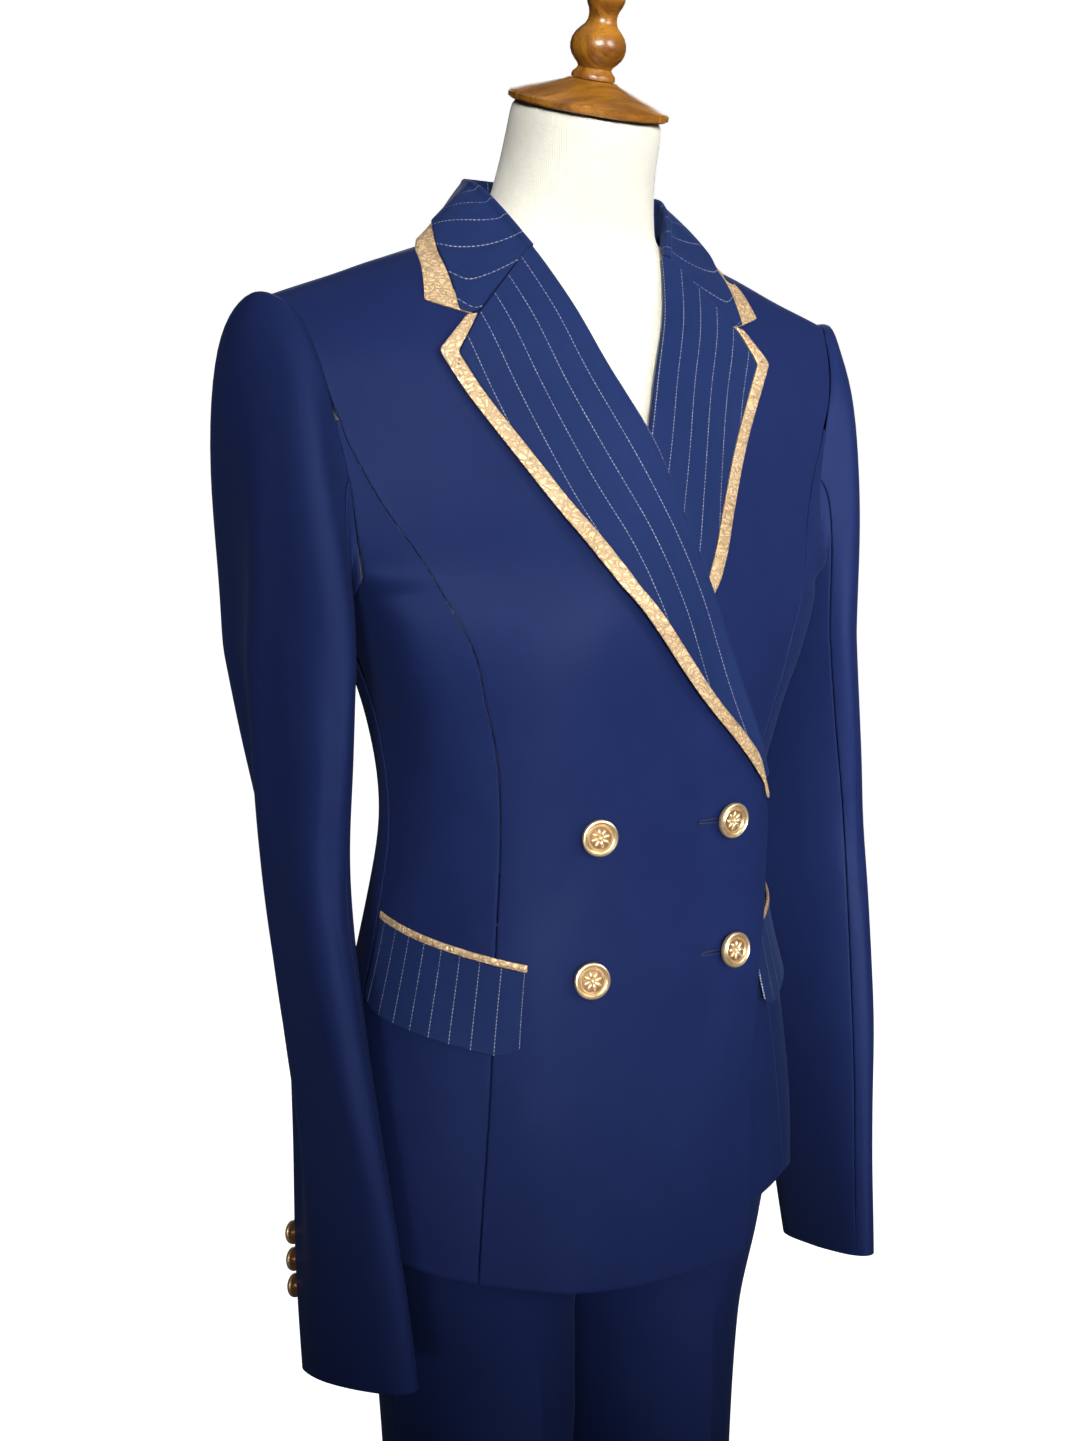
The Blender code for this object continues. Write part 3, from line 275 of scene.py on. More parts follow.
def front_at(x, z, out=0.0):
    """Point on the jacket's front at x and height z, moved out."""
    level = level_at(x, z)
    return body(turn_at(x, level), level, out)


def roll_x(z):
    """How far past centre front a front reaches at height z: its edge, then its roll line and gorge."""
    if z <= BREAK[1]:
        return read(EDGE, EDGE_COLUMNS, "edge_x", z)
    if z <= ROLL_CROSS:
        return BREAK[0] * (1 - (z - BREAK[1]) / (ROLL_CROSS - BREAK[1])) ** 1.15
    if z <= ROLL_TOP[1]:
        return -ROLL_TOP[0] * (z - ROLL_CROSS) / (ROLL_TOP[1] - ROLL_CROSS)
    part = (z - ROLL_TOP[1]) / (shoulder_height(NECK_POINT) - ROLL_TOP[1])
    return -mix(ROLL_TOP[0], NECK_POINT, min(part, 1.0))


def outer_hem(turn):
    """Height of the jacket's hem at a turn."""
    side = min(abs(turn), 180 - abs(turn)) / 90
    return HEM_FRONT + HEM_SIDE_RISE * side**2 + BACK_HEM_RISE * smooth((abs(turn) - 60) / 120)


def covered_hem(turn):
    """Height of the left front's hem, which is shorter where the right front covers it."""
    return outer_hem(turn) + COVERED_HEM_RISE * (1 - smooth((turn - 40) / 35))


def right_lift(x, z):
    """How far the right fronts stand off the body surface, over the left front's edge."""
    edge = max(roll_x(z), 0.0) + 0.001
    roll = ROLL_LIFT * smooth((x + 0.01) / 0.06) * math.exp(-((z - BREAK[1] - 0.050) / 0.042) ** 2)
    edge_lift = EDGE_LIFT * smooth((x - 0.02) / 0.06) * smooth((z - 0.90) / 0.14) * (1 - smooth((z - 1.13) / 0.12))
    over = OVERLAP_LIFT * smooth((x + edge + LIFT_FADE) / LIFT_FADE) * (1 - smooth((z - ROLL_CROSS) / 0.10))
    return over + roll + edge_lift


def trough(u, v, row):
    """Depth at a point of one trough of a table: from one end to the other, soft all round."""
    from_u, from_v, to_u, to_v, width, depth = row
    long_u, long_v = to_u - from_u, to_v - from_v
    part = ((u - from_u) * long_u + (v - from_v) * long_v) / (long_u**2 + long_v**2)
    aside = math.hypot(u - from_u - long_u * part, v - from_v - long_v * part)
    ends = smooth((part + 0.25) / 0.5) * smooth((1.25 - part) / 0.5)
    return depth * ends * math.exp(-(aside / width) ** 2)


def body_rest(turn, level):
    """Slow unevenness of cloth hanging on a form, at most about half a millimetre."""
    return (0.00028 * math.sin(turn * 0.115 + level * 31) * math.sin(level * 47 + turn * 0.05)
            + 0.00022 * math.sin(turn * 0.21 - level * 63 + 1.3))


def dip(column, count):
    """How far a panel's edge turns in at its seam: columns 0 and 1 at each side."""
    return {0: SEAM_DIP, 1: SEAM_DIP * 0.35}.get(min(column, count - column), 0.0)


def edged(count, edge, again=2.6):
    """Parts from 0 to 1 in even steps, with two closer ones at each end, for a sewn edge."""
    middle = [mix(edge * again, 1 - edge * again, i / (count - 4)) for i in range(count - 3)]
    return [0.0, edge, *middle, 1 - edge, 1.0]


def value(material, kind, **settings):
    """A node of a material or group, with its properties and inputs set."""
    node = material.node_tree.nodes.new(kind) if hasattr(material, "node_tree") else material.nodes.new(kind)
    for name, setting in settings.items():
        if name.startswith("in_"):
            node.inputs[int(name[3:])].default_value = setting
        else:
            setattr(node, name, setting)
    return node


def calc(material, operation, **inputs):
    """A sum of a material or group."""
    return value(material, "ShaderNodeMath", operation=operation, **inputs)


def to_and_fro(material):
    """A wave that climbs to a half and falls back in each whole step."""
    return calc(material, "PINGPONG", in_1=0.5)


def ranged(material, low, high, new_low, new_high):
    """A value brought from one range to another."""
    return value(material, "ShaderNodeMapRange", in_1=low, in_2=high, in_3=new_low, in_4=new_high)


def noise(material, scale, detail):
    """Noise of a scale, in parts of a metre, and a detail."""
    return value(material, "ShaderNodeTexNoise", in_2=scale, in_3=detail)


def shaded_by(material):
    """One colour multiplied by another."""
    return value(material, "ShaderNodeMix", data_type="RGBA", blend_type="MULTIPLY", in_0=1.0)


def ramp(material, low, low_colour, high, high_colour):
    """Shades between two colours, each at its place."""
    node = value(material, "ShaderNodeValToRGB")
    for element, place, colour in zip(node.color_ramp.elements, (low, high), (low_colour, high_colour)):
        element.position, element.color = place, colour
    return node


def wire(tree, *links):
    """Link nodes of a tree; each link is a node, its output, another node and its input."""
    for node, output, into, socket in links:
        tree.links.new(node.outputs[output], into.inputs[socket])


def effect(name, inputs, outputs):
    """An empty shader node group with named inputs and outputs: (name, socket type, default)."""
    group = bpy.data.node_groups.new(name, "ShaderNodeTree")
    for label, kind, default in inputs:
        socket = group.interface.new_socket(label, in_out="INPUT", socket_type=kind)
        if default is not None:
            socket.default_value = default
    for label, kind in outputs:
        group.interface.new_socket(label, in_out="OUTPUT", socket_type=kind)
    return group, group.nodes.new("NodeGroupInput"), group.nodes.new("NodeGroupOutput")


def place_effect(material, group, **inputs):
    """A node group placed in a material, with its own values."""
    node = material.node_tree.nodes.new("ShaderNodeGroup")
    node.node_tree = group
    for name, setting in inputs.items():
        node.inputs[name].default_value = setting
    return node


def new_material(name, slot="", **settings):
    """A material, and its Principled shader with constant sockets set by name."""
    material = bpy.data.materials.new(name)
    material.use_nodes = True
    material["slot"] = slot
    shader = material.node_tree.nodes["Principled BSDF"]
    for label, setting in settings.items():
        shader.inputs[label.replace("_", " ")].default_value = setting
    return material, shader


def twill_weave():
    """Twill weave: fine diagonal ribs crossed by single threads, in metres of cloth."""
    group, taken, given = effect(
        "twill_weave", (("Cloth", "NodeSocketVector", None), ("Thread", "NodeSocketFloat", 0.0006)),
        (("Height", "NodeSocketFloat"), ("Shade", "NodeSocketFloat")))
    cloth_xy = value(group, "ShaderNodeSeparateXYZ")
    rib_sum = calc(group, "MULTIPLY_ADD", in_1=0.55)
    rib_turn = calc(group, "DIVIDE")
    rib_wave = to_and_fro(group)
    thread_turn = calc(group, "DIVIDE")
    thread_wave = to_and_fro(group)
    uneven = noise(group, 900.0, 2.0)
    both = calc(group, "MULTIPLY_ADD", in_1=0.5)
    height = calc(group, "MULTIPLY_ADD", in_1=0.8)
    # Shade is colour taken from the weave's height: painted shade in its grooves and painted highlight on its ribs,
    # with a little uneven tone from the noise.
    shade = ranged(group, 0.0, 1.2, 0.86, 1.10)
    wire(group, (taken, "Cloth", cloth_xy, 0), (cloth_xy, "Y", rib_sum, 0), (cloth_xy, "X", rib_sum, 2),
         (rib_sum, 0, rib_turn, 0), (taken, "Thread", rib_turn, 1), (rib_turn, 0, rib_wave, 0),
         (cloth_xy, "Y", thread_turn, 0), (taken, "Thread", thread_turn, 1), (thread_turn, 0, thread_wave, 0),
         (taken, "Cloth", uneven, "Vector"), (thread_wave, 0, both, 0), (rib_wave, 0, both, 2),
         (uneven, "Fac", height, 0), (both, 0, height, 2), (height, 0, given, "Height"), (height, 0, shade, 0),
         (shade, 0, given, "Shade"))
    return group


def clouding():
    """Slow clouding of a surface: pressing, handling and dye, from two sizes of noise."""
    group, taken, given = effect(
        "clouding", (("Place", "NodeSocketVector", None), ("Scale", "NodeSocketFloat", 9.0)),
        (("Mask", "NodeSocketFloat"),))
    broad = value(group, "ShaderNodeTexNoise", in_3=3.0)
    finer = calc(group, "MULTIPLY", in_1=9.0)
    small = value(group, "ShaderNodeTexNoise", in_3=2.0)
    joined = value(group, "ShaderNodeMix", data_type="FLOAT", in_0=0.35)
    wire(group, (taken, "Place", broad, "Vector"), (taken, "Scale", broad, "Scale"),
         (taken, "Scale", finer, 0), (finer, 0, small, "Scale"), (taken, "Place", small, "Vector"),
         (broad, "Fac", joined, 2), (small, "Fac", joined, 3), (joined, 0, given, "Mask"))
    return group


TWILL = twill_weave()
CLOUDING = clouding()


def navy_satin_wool():
    """Navy wool with a satin face: dark, a soft broad gloss, a fine twill."""
    material, shader = new_material("navy_twill", "navy_satin_wool", Sheen_Weight=0.03, Sheen_Roughness=0.45,
                                    Sheen_Tint=(0.30, 0.44, 1.0, 1.0), Specular_IOR_Level=0.07,
                                    Specular_Tint=(0.45, 0.58, 1.0, 1.0))
    tree = material.node_tree
    cloth_uv = value(material, "ShaderNodeUVMap", uv_map="cloth")
    where = value(material, "ShaderNodeTexCoord")
    weave = place_effect(material, TWILL, Thread=0.0009)
    cloud = place_effect(material, CLOUDING, Scale=7.0)
    dye = ramp(material, 0.30, (0.0062, 0.0112, 0.049, 1), 0.72, (0.0080, 0.0142, 0.060, 1))
    # The dye multiplied by the weave's Shade: painted shade in the twill's grooves and painted highlight on its ribs.
    dye_with_weave_shade = shaded_by(material)
    gloss = ranged(material, 0.3, 0.7, 0.43, 0.52)
    relief = value(material, "ShaderNodeBump", in_0=0.35, in_1=0.00018)
    wire(tree, (cloth_uv, 0, weave, "Cloth"), (where, "Object", cloud, "Place"), (cloud, "Mask", dye, 0),
         (dye, 0, dye_with_weave_shade, 6), (weave, "Shade", dye_with_weave_shade, 7), (dye_with_weave_shade, 2, shader, "Base Color"),
         (cloud, "Mask", gloss, 0), (gloss, 0, shader, "Roughness"), (weave, "Height", relief, "Height"),
         (relief, 0, shader, "Normal"))
    return material


NAVY = navy_satin_wool()


def as_data(name, mesh):
    """Mesh data from a bmesh, shaded smooth."""
    data = bpy.data.meshes.new(name)
    mesh.to_mesh(data)
    mesh.free()
    data.shade_smooth()
    return data


def put(name, data):
    """An object in the scene."""
    piece = bpy.data.objects.new(name, data)
    bpy.context.scene.collection.objects.link(piece)
    return piece


def lay_flat(mesh, flat):
    """Give each corner of a mesh its place on the flat cloth, in metres, for its weave and stripes."""
    uv = mesh.loops.layers.uv.verify()
    for face in mesh.faces:
        for loop in face.loops:
            loop[uv].uv = flat(loop.vert)


def finish_cloth(name, mesh, material, wall, levels=1):
    """Give a surface its wall and rounded edges, attach it to the root body and hide the CAD node it stands for."""
    data = as_data(f"{name}_sewn", mesh)
    data.uv_layers[0].name = "cloth"
    piece = put(f"{name}_sewn", data)
    data.materials.append(material)
    body_wall = piece.modifiers.new("wall", "SOLIDIFY")
    body_wall.thickness, body_wall.offset, body_wall.use_even_offset = wall, -1.0, True
    if levels:
        rounding = piece.modifiers.new("rounding", "SUBSURF")
        rounding.levels = rounding.render_levels = levels
    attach(piece, "root")
    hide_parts(name)
    return piece


def face_out(mesh, outside):
    """Turn a surface's faces to the side that a given point of the outside lies on."""
    face = min(mesh.faces, key=lambda item: (item.calc_center_median() - outside).length)
    if face.normal.dot(outside - face.calc_center_median()) < 0:
        bmesh.ops.reverse_faces(mesh, faces=mesh.faces[:])


FLAT_SKIRT, FLAT_CHEST = 0.40, 0.20     # length of flat cloth below the underarm and above it
FRONT_WIDTH, SIDE_WIDTH, BACK_WIDTH = 0.21, 0.13, 0.15
FRONT_PRINCESS, BACK_PRINCESS = 44, 138     # about where those seams run, in degrees of turn
NECK_FROM = 0.72                        # the back's neckline is scooped above this rise
BODY_UP = [i / 34 for i in range(35)]
CHEST_UP = [0.0, 0.03, 0.07, 0.11, 0.16, 0.21, 0.27, 0.33, 0.39, 0.45, 0.51, 0.57, 0.63, 0.69, 0.75, 0.81, 0.86,
            0.905, 0.94, 0.965, 0.985, 0.996, 1.0]


def panel_rows(top_rise):
    """Rows of a panel: parts of the way from hem to underarm, then rises of the armhole up to top_rise."""
    below = [("part", part) for part in (0.0, 0.0025, *BODY_UP[1:-1])]
    return below + [("rise", rise) for rise in CHEST_UP if rise <= top_rise]


def row_level(row, turn, hem):
    """Level of one of panel_rows at a turn."""
    kind, part = row
    if kind == "part":
        return mix(hem(turn), UNDERARM, part)
    return UNDERARM + min(part, RIDGE_END) * (SHOULDER_TIP[1] - UNDERARM)


def row_height(row):
    """Height of one of panel_rows on the flat cloth, in metres."""
    return row[1] * FLAT_SKIRT if row[0] == "part" else FLAT_SKIRT + row[1] * FLAT_CHEST


def seam_turn(level, column, limit):
    """Turn of a princess seam, always positive, or of the armhole above it."""
    if level > PRINCESS_TOP + 1e-4:
        return limit
    turn = read(PRINCESS, PRINCESS_COLUMNS, column, level)
    return min(turn, 90 - SIDE_TIP) if limit < 90 else max(turn, 90 + SIDE_TIP)


def side_panel(name, sign, column, limit, hem):
    """Side front or side back, from the side seam to the princess seam, with its tip at the armhole."""
    rows = panel_rows(PRINCESS_RISE)
    parts = edged(14, 0.012)
    inward = -1 if limit < 90 else 1

    def place(index, up):
        row = rows[up]
        level = row_level(row, FRONT_PRINCESS if limit < 90 else BACK_PRINCESS, outer_hem)
        start = limit
        if row[0] == "part":
            start += inward * half_seam(limit, level)
        princess = seam_turn(level, column, limit)
        turn = mix(start, princess - inward * half_seam(princess, level), parts[index])
        level = row_level(row, turn, hem)
        x, _, z = body_place(turn * sign, level)
        lift = right_lift(x, z) if sign < 0 and limit < 90 else 0.0
        return body(turn * sign, level, lift - dip(index, len(parts) - 1) + body_rest(turn * sign, level))

    return panel(name, place, parts, rows, sign, limit < 90, SIDE_WIDTH)


def sew(name, place, parts, heights, outside, measure, material, wall, levels=1):
    """A piece of cloth: a grid whose point in each column and row is put in place.

    Measure gives a point's place on the flat cloth, in metres, for its weave and stripes.  Outside is a
    point in front of its outer face.
    """
    mesh = bmesh.new()
    bmesh.ops.create_grid(mesh, x_segments=len(parts) - 1, y_segments=len(heights) - 1, size=0.5, calc_uvs=True)
    spots = {vertex: (round((vertex.co.x + 0.5) * (len(parts) - 1)), round((vertex.co.y + 0.5) * (len(heights) - 1)))
             for vertex in mesh.verts}
    lay_flat(mesh, lambda vertex: measure(parts[spots[vertex][0]], heights[spots[vertex][1]]))
    for vertex, spot in spots.items():
        vertex.co = place(*spot)
    mesh.normal_update()
    face_out(mesh, Vector(outside))
    return finish_cloth(name, mesh, material, wall, levels)


def panel(name, place, parts, rows, sign, in_front, width):
    """One body panel, from a place for each of its columns and rows; width is across its flat cloth."""
    outside = (sign * 0.3, -1.0 if in_front else 1.0, 1.0)
    return sew(name, place, parts, [row_height(row) for row in rows], outside,
               lambda across, up: (across * width, up), NAVY, JACKET_WALL)


def front_panel(name, sign, hem):
    """Centre front, from its edge and roll line to the princess seam, armhole and shoulder seam.

    Sign is -1 for the right front, which covers the left one.
    """
    rows = panel_rows(1.0)
    parts = edged(30, 0.006)

    @functools.lru_cache(maxsize=None)
    def inner_turn(up):
        inner = 0.0
        for _ in range(8):
            level = row_level(rows[up], inner, hem)
            inner = turn_at(-sign * roll_x(body_place(inner, level)[2]), level)
        return inner

    def place(index, up):
        row = rows[up]
        inner = inner_turn(up)
        level = row_level(row, FRONT_PRINCESS, outer_hem)
        outer = seam_turn(level, "front_turn", FRONT_SIDE)
        outer -= half_seam(outer, level) if outer < FRONT_SIDE else 0.0
        turn = mix(inner, outer * sign, parts[index])
        level = row_level(row, abs(turn) if turn * sign > 0 else 0.0, hem)
        x, _, z = body_place(turn, level)
        lift = body_rest(turn, level)
        if sign < 0:
            lift += right_lift(x, z) - sum(trough(x, z, row) for row in PULLS)
        if index > len(parts) - 3:
            lift -= dip(index, len(parts) - 1)
        return body(turn, level, lift)

    return panel(name, place, parts, rows, sign, True, FRONT_WIDTH)


def back_panel(name, sign):
    """Half of the back, from the centre-back seam to the princess seam, armhole and shoulder seam."""
    rows = panel_rows(1.0)
    parts = edged(20, 0.008)

    def place(index, up):
        row = rows[up]
        level = row_level(row, BACK_PRINCESS, outer_hem)
        outer = seam_turn(level, "back_turn", BACK_SIDE)
        outer += half_seam(outer, level) if outer > BACK_SIDE else 0.0
        turn = mix(180 - half_seam(170, level), outer, parts[index])
        level = row_level(row, turn, outer_hem)
        past_neck = max(1 - body_place(turn, level)[0] / NECK_POINT, 0.0)
        if row[0] == "rise" and row[1] > NECK_FROM:
            top = mix(1.0, BACK_NECK_RISE, past_neck**0.5)
            rise = mix(NECK_FROM, top, (row[1] - NECK_FROM) / (1 - NECK_FROM))
            level = row_level(("rise", rise), turn, outer_hem)
        return body(turn * sign, level, body_rest(turn * sign, level) - dip(index, len(parts) - 1))

    return panel(name, place, parts, rows, sign, False, BACK_WIDTH)


for side, sign in SIDES:
    hem = outer_hem if side == "right" else covered_hem
    front_panel(f"{side}_front", sign, hem)
    side_panel(f"{side}_side_front", sign, "front_turn", FRONT_SIDE, hem)
    side_panel(f"{side}_side_back", sign, "back_turn", BACK_SIDE, outer_hem)
    back_panel(f"{side}_back", sign)


# ---- Sleeves ----
# Two-piece sleeves, each a top and an under sleeve, with a soft rope of padding in the head and a slanted
# cuff.  They hang a little flattened, with one long fold down the outside.
SLEEVE_COLUMNS = ("height", "x", "y", "half_long", "outer_half", "inner_half", "toe")
SLEEVE = (
    (0.770, 0.1747, -0.0510, 0.0546, 0.0150, 0.0120, 10.0),
    (0.830, 0.1749, -0.0414, 0.0574, 0.0160, 0.0125, 6.0),
    (0.900, 0.1745, -0.0284, 0.0608, 0.0180, 0.0135, -1.5),
    (0.980, 0.1744, -0.0116, 0.0638, 0.0210, 0.0160, -9.0),
    (1.060, 0.1760, 0.0050, 0.0689, 0.0240, 0.0185, -11.0),
    (1.130, 0.1763, 0.0150, 0.0765, 0.0270, 0.0195, -5.0),
    (1.185, 0.1755, 0.0225, 0.0830, 0.0305, 0.0190, -1.5),
)
ARMHOLE_RISES = (0.0, 0.06, 0.20, 0.38, 0.57, 0.72, 0.84, 0.93, 0.98, 1.0)
STEPS = len(ARMHOLE_RISES) - 1
TOP_SLEEVE = (-6, 6)            # armhole steps, from the shoulder tip, of the top sleeve's two seams
ARMHOLE_LAP = 0.0006            # the sleeve's edge is tucked this far under the armhole's
CAP_ROLL = (0.45, 0.70)
CAP_SPREAD = (0.45, 0.80)
CUFF_SLANT = 0.24
SLEEVE_WIDTH, SLEEVE_LENGTH = 0.24, 0.62    # of flat cloth, for its weave
CUFF_LAP, CUFF_LAP_FROM = 0.0007, 1.96     # the seam's edges lap at the cuff, below this part of the way down
ROPE, ROPE_DOWN, ROPE_HALF = 0.0022, 0.07, 0.05
# Folds of a sleeve: from_down, from_step, to_down, to_step, half width, height.  Down and step are
# sleeve_place's, and a minus height is a trough.
FOLDS = (
    (0.50, 1.3, 1.80, -0.6, 0.50, 0.0056),
    (0.55, -0.3, 1.90, -2.2, 0.95, -0.0085),
    (0.95, 3.6, 1.45, 4.6, 0.50, -0.0018),
    (1.30, 2.6, 1.70, 3.4, 0.70, 0.0016),
    (1.22, 5.6, 1.30, 3.2, 0.08, -0.0016),
    (1.32, 6.2, 1.38, 4.2, 0.07, -0.0014),
    (1.42, -5.4, 1.50, -3.4, 0.08, -0.0016),
)


@functools.lru_cache(maxsize=None)
def armhole_at(step):
    """Point of the armhole's edge and its body normal; step 0 is the shoulder tip, 9 the underarm."""
    step = (step + STEPS) % (2 * STEPS) - STEPS
    rise = ARMHOLE_RISES[STEPS - abs(step)]
    level = UNDERARM + min(rise, RIDGE_END) * (SHOULDER_TIP[1] - UNDERARM)
    turn = FRONT_SIDE if step >= 0 else BACK_SIDE
    here = body(turn, level)
    return here, body(turn, level, 1.0) - here


@functools.lru_cache(maxsize=None)
def sleeve_row(height):
    """The sleeve's section at a height."""
    return [read(SLEEVE, SLEEVE_COLUMNS, name, height) for name in SLEEVE_COLUMNS[1:]]


def sleeve_section(step, height):
    """Point of the sleeve's outer face at a height; steps go round as they do on the armhole."""
    angle = math.radians(180 * step / STEPS)
    x, y, half_long, outer_half, inner_half, toe = sleeve_row(height)
    across = math.cos(angle)
    forward = math.copysign(abs(math.sin(angle)) ** 0.9, math.sin(angle))
    thick = across * (outer_half if across > 0 else inner_half)
    tilt = math.radians(toe)
    place = Vector((x + thick * math.cos(tilt) - forward * half_long * math.sin(tilt),
                    y - thick * math.sin(tilt) - forward * half_long * math.cos(tilt), height))
    slant = CUFF_SLANT * smooth(1 - (height - SLEEVE[0][0]) / 0.15)
    place.z += slant * forward * half_long
    return place


def armhole_between(step):
    """Armhole point and normal at any step, on a smooth curve through the whole ones."""
    low = math.floor(step)
    t = step - low
    ends = []
    for part in (0, 1):
        a, b, c, d = (armhole_at(low + i)[part] for i in (-1, 0, 1, 2))
        ends.append(b + (c - a) * (t / 2) + (a - b * 2.5 + c * 2 - d * 0.5) * t**2
                    + (b * 1.5 - a * 0.5 - c * 1.5 + d * 0.5) * t**3 if 0 < t < 1 else b)
    return ends


def sleeve_place(step, down):
    """Point of the sleeve's outer face: down is 0 at the armhole, 1 at the first full section, 2 at the cuff."""
    if down > 1:
        return tuple(sleeve_section(step, mix(SLEEVE[-1][0], SLEEVE[0][0], down - 1)))
    seat, normal = armhole_between(step)
    angle = math.radians(180 * step / STEPS)
    leave = Vector((mix(0.55, 1.0, (1 + math.cos(angle)) / 2), -CAP_SPREAD[math.sin(angle) < 0] * math.sin(angle),
                    0.30 * math.cos(angle) - 0.55 * (1 - math.cos(angle)) / 2)).normalized()
    seat = seat + normal * SEAM - leave * ARMHOLE_LAP
    goal = sleeve_section(step, SLEEVE[-1][0])
    drop = (seat - goal).length
    fall = (goal - sleeve_section(step, SLEEVE[-1][0] + 0.02)).normalized()
    fall = (fall + Vector((0, 0, -1.0))).normalized()
    t = down
    roll = mix(*CAP_ROLL, smooth(0.5 - math.sin(angle)))
    place = (seat * (2 * t**3 - 3 * t**2 + 1) + leave * drop * roll * (t**3 - 2 * t**2 + t)
             + goal * (3 * t**2 - 2 * t**3) + fall * drop * (t**3 - t**2))
    return tuple(place)


def sleeve_point(step, down, out):
    """Point of the left sleeve moved out square to it."""
    down_step = -1e-3 if down > 1.999 or 0.999 < down <= 1.0 else 1e-3
    return moved_out(lambda a, b: sleeve_place(step + a, down + b), 0.05, down_step, out)


def sleeve_relief(step, down):
    """Folds, the padded rope along the sleeve head, and slow unevenness."""
    step = (step + STEPS) % (2 * STEPS) - STEPS
    folds = 0.0
    for row in FOLDS:
        from_down, from_step, to_down, to_step, width, height = row
        long = to_down - from_down
        part = (down - from_down) / long
        if abs(long) < 0.12:                    # a short one, lying across the sleeve
            part = (step - from_step) / (to_step - from_step)
            aside = (down - mix(from_down, to_down, part)) / width
        else:
            aside = (step - mix(from_step, to_step, part)) / width
        folds += height * smooth((part + 0.1) / 0.4) * smooth((1.1 - part) / 0.4) * math.exp(-aside**2)
    rope = ROPE * math.exp(-((down - ROPE_DOWN) / ROPE_HALF) ** 2) * smooth((5.5 - abs(step)) / 3)
    slow = 0.0005 * math.sin(down * 9 + step * 0.8) * math.sin(down * 5 - step * 1.1 + 1) * smooth(down / 0.3)
    return folds + rope + slow


def sleeve_panel(name, sign, first, last, cut):
    """Top sleeve or under sleeve, between two of the armhole's steps."""
    parts = edged(40 if last - first > 7 else 22, 0.006)
    downs = [0.0, 0.008, 0.03, 0.07, 0.12, 0.18, 0.25, 0.33, 0.42, 0.52, 0.62, 0.72, 0.82, 0.91,
             *(1 + i / 38 for i in range(38)), 1.992, 1.9985, 2.0]

    def place(index, row):
        down = downs[len(downs) - 1 - row]
        step = mix(first, last, parts[index])
        inward = (index == 0) - (index == len(parts) - 1)
        lift = sleeve_relief(step, down) - dip(index, len(parts) - 1) * smooth(down / 0.1)
        point = sleeve_point(step, down, lift - (SEAM_DIP * 0.8 if down == 0.0 else 0.0))
        if inward:
            beside = sleeve_point(step + 0.2 * inward, down, lift) - point
            point += beside.normalized() * (SEAM * 0.55 if down < CUFF_LAP_FROM else -CUFF_LAP)
        return Vector((point.x * sign, point.y, point.z))

    heights = [SLEEVE_LENGTH * (1 - down / 2) for down in reversed(downs)]
    outside = (sign * (0.6 if last - first > 7 and first < 0 else -0.2), 0.0, 1.0)
    return sew(name, place, parts, heights, outside, lambda across, up: (across * SLEEVE_WIDTH, up), NAVY,
               JACKET_WALL)


for side, sign in SIDES:
    sleeve_panel(f"{side}_top_sleeve", sign, *TOP_SLEEVE, (0.24, 0.66, 0.109))
    sleeve_panel(f"{side}_under_sleeve", sign, TOP_SLEEVE[1], TOP_SLEEVE[0] + 2 * STEPS, (0.13, 0.58, 0.057))


# ---- Lapels ----
# Pinstripe wool over canvas, rolled back softly from the front edge, with a strip of rose-gold metallic
# leather stitched round its point and down its edge.  The covered one ends under the right front.
ROLL_COLUMNS = ("height", "edge_x")
LAPEL_EDGE = (
    (1.0910, -0.0735),
    (1.1066, -0.0622),
    (1.1375, -0.0357),
    (1.1753, -0.0032),
    (1.2091, 0.0231),
    (1.2256, 0.0366),
    (1.2575, 0.0555),
    (1.2996, 0.0810),
    (1.3327, 0.1025),
    (1.3545, 0.1150),
)
NOTCH = (0.0890, 1.3750)
LAPEL_POINT = (0.1150, 1.3545)
LAPEL_WALL = 0.0015
LAPEL_TRIM = 0.0088             # width of the strip on a lapel's edge
LAPEL_TRIM_LEVEL = 1.23         # its width measured level, as the edge slants
LAPEL_TOP_TRIM = 0.0065
TRIM_WALL = 0.0019
REST = 0.0015                   # what lies on a front stands this far off it
LAPEL_SPRING = 0.0042           # how much further the lapel's outer edge springs off the front
LEFT_LAPEL_FROM = 0.40
STRIPE_STEP = 0.0140            # between two pinstripes


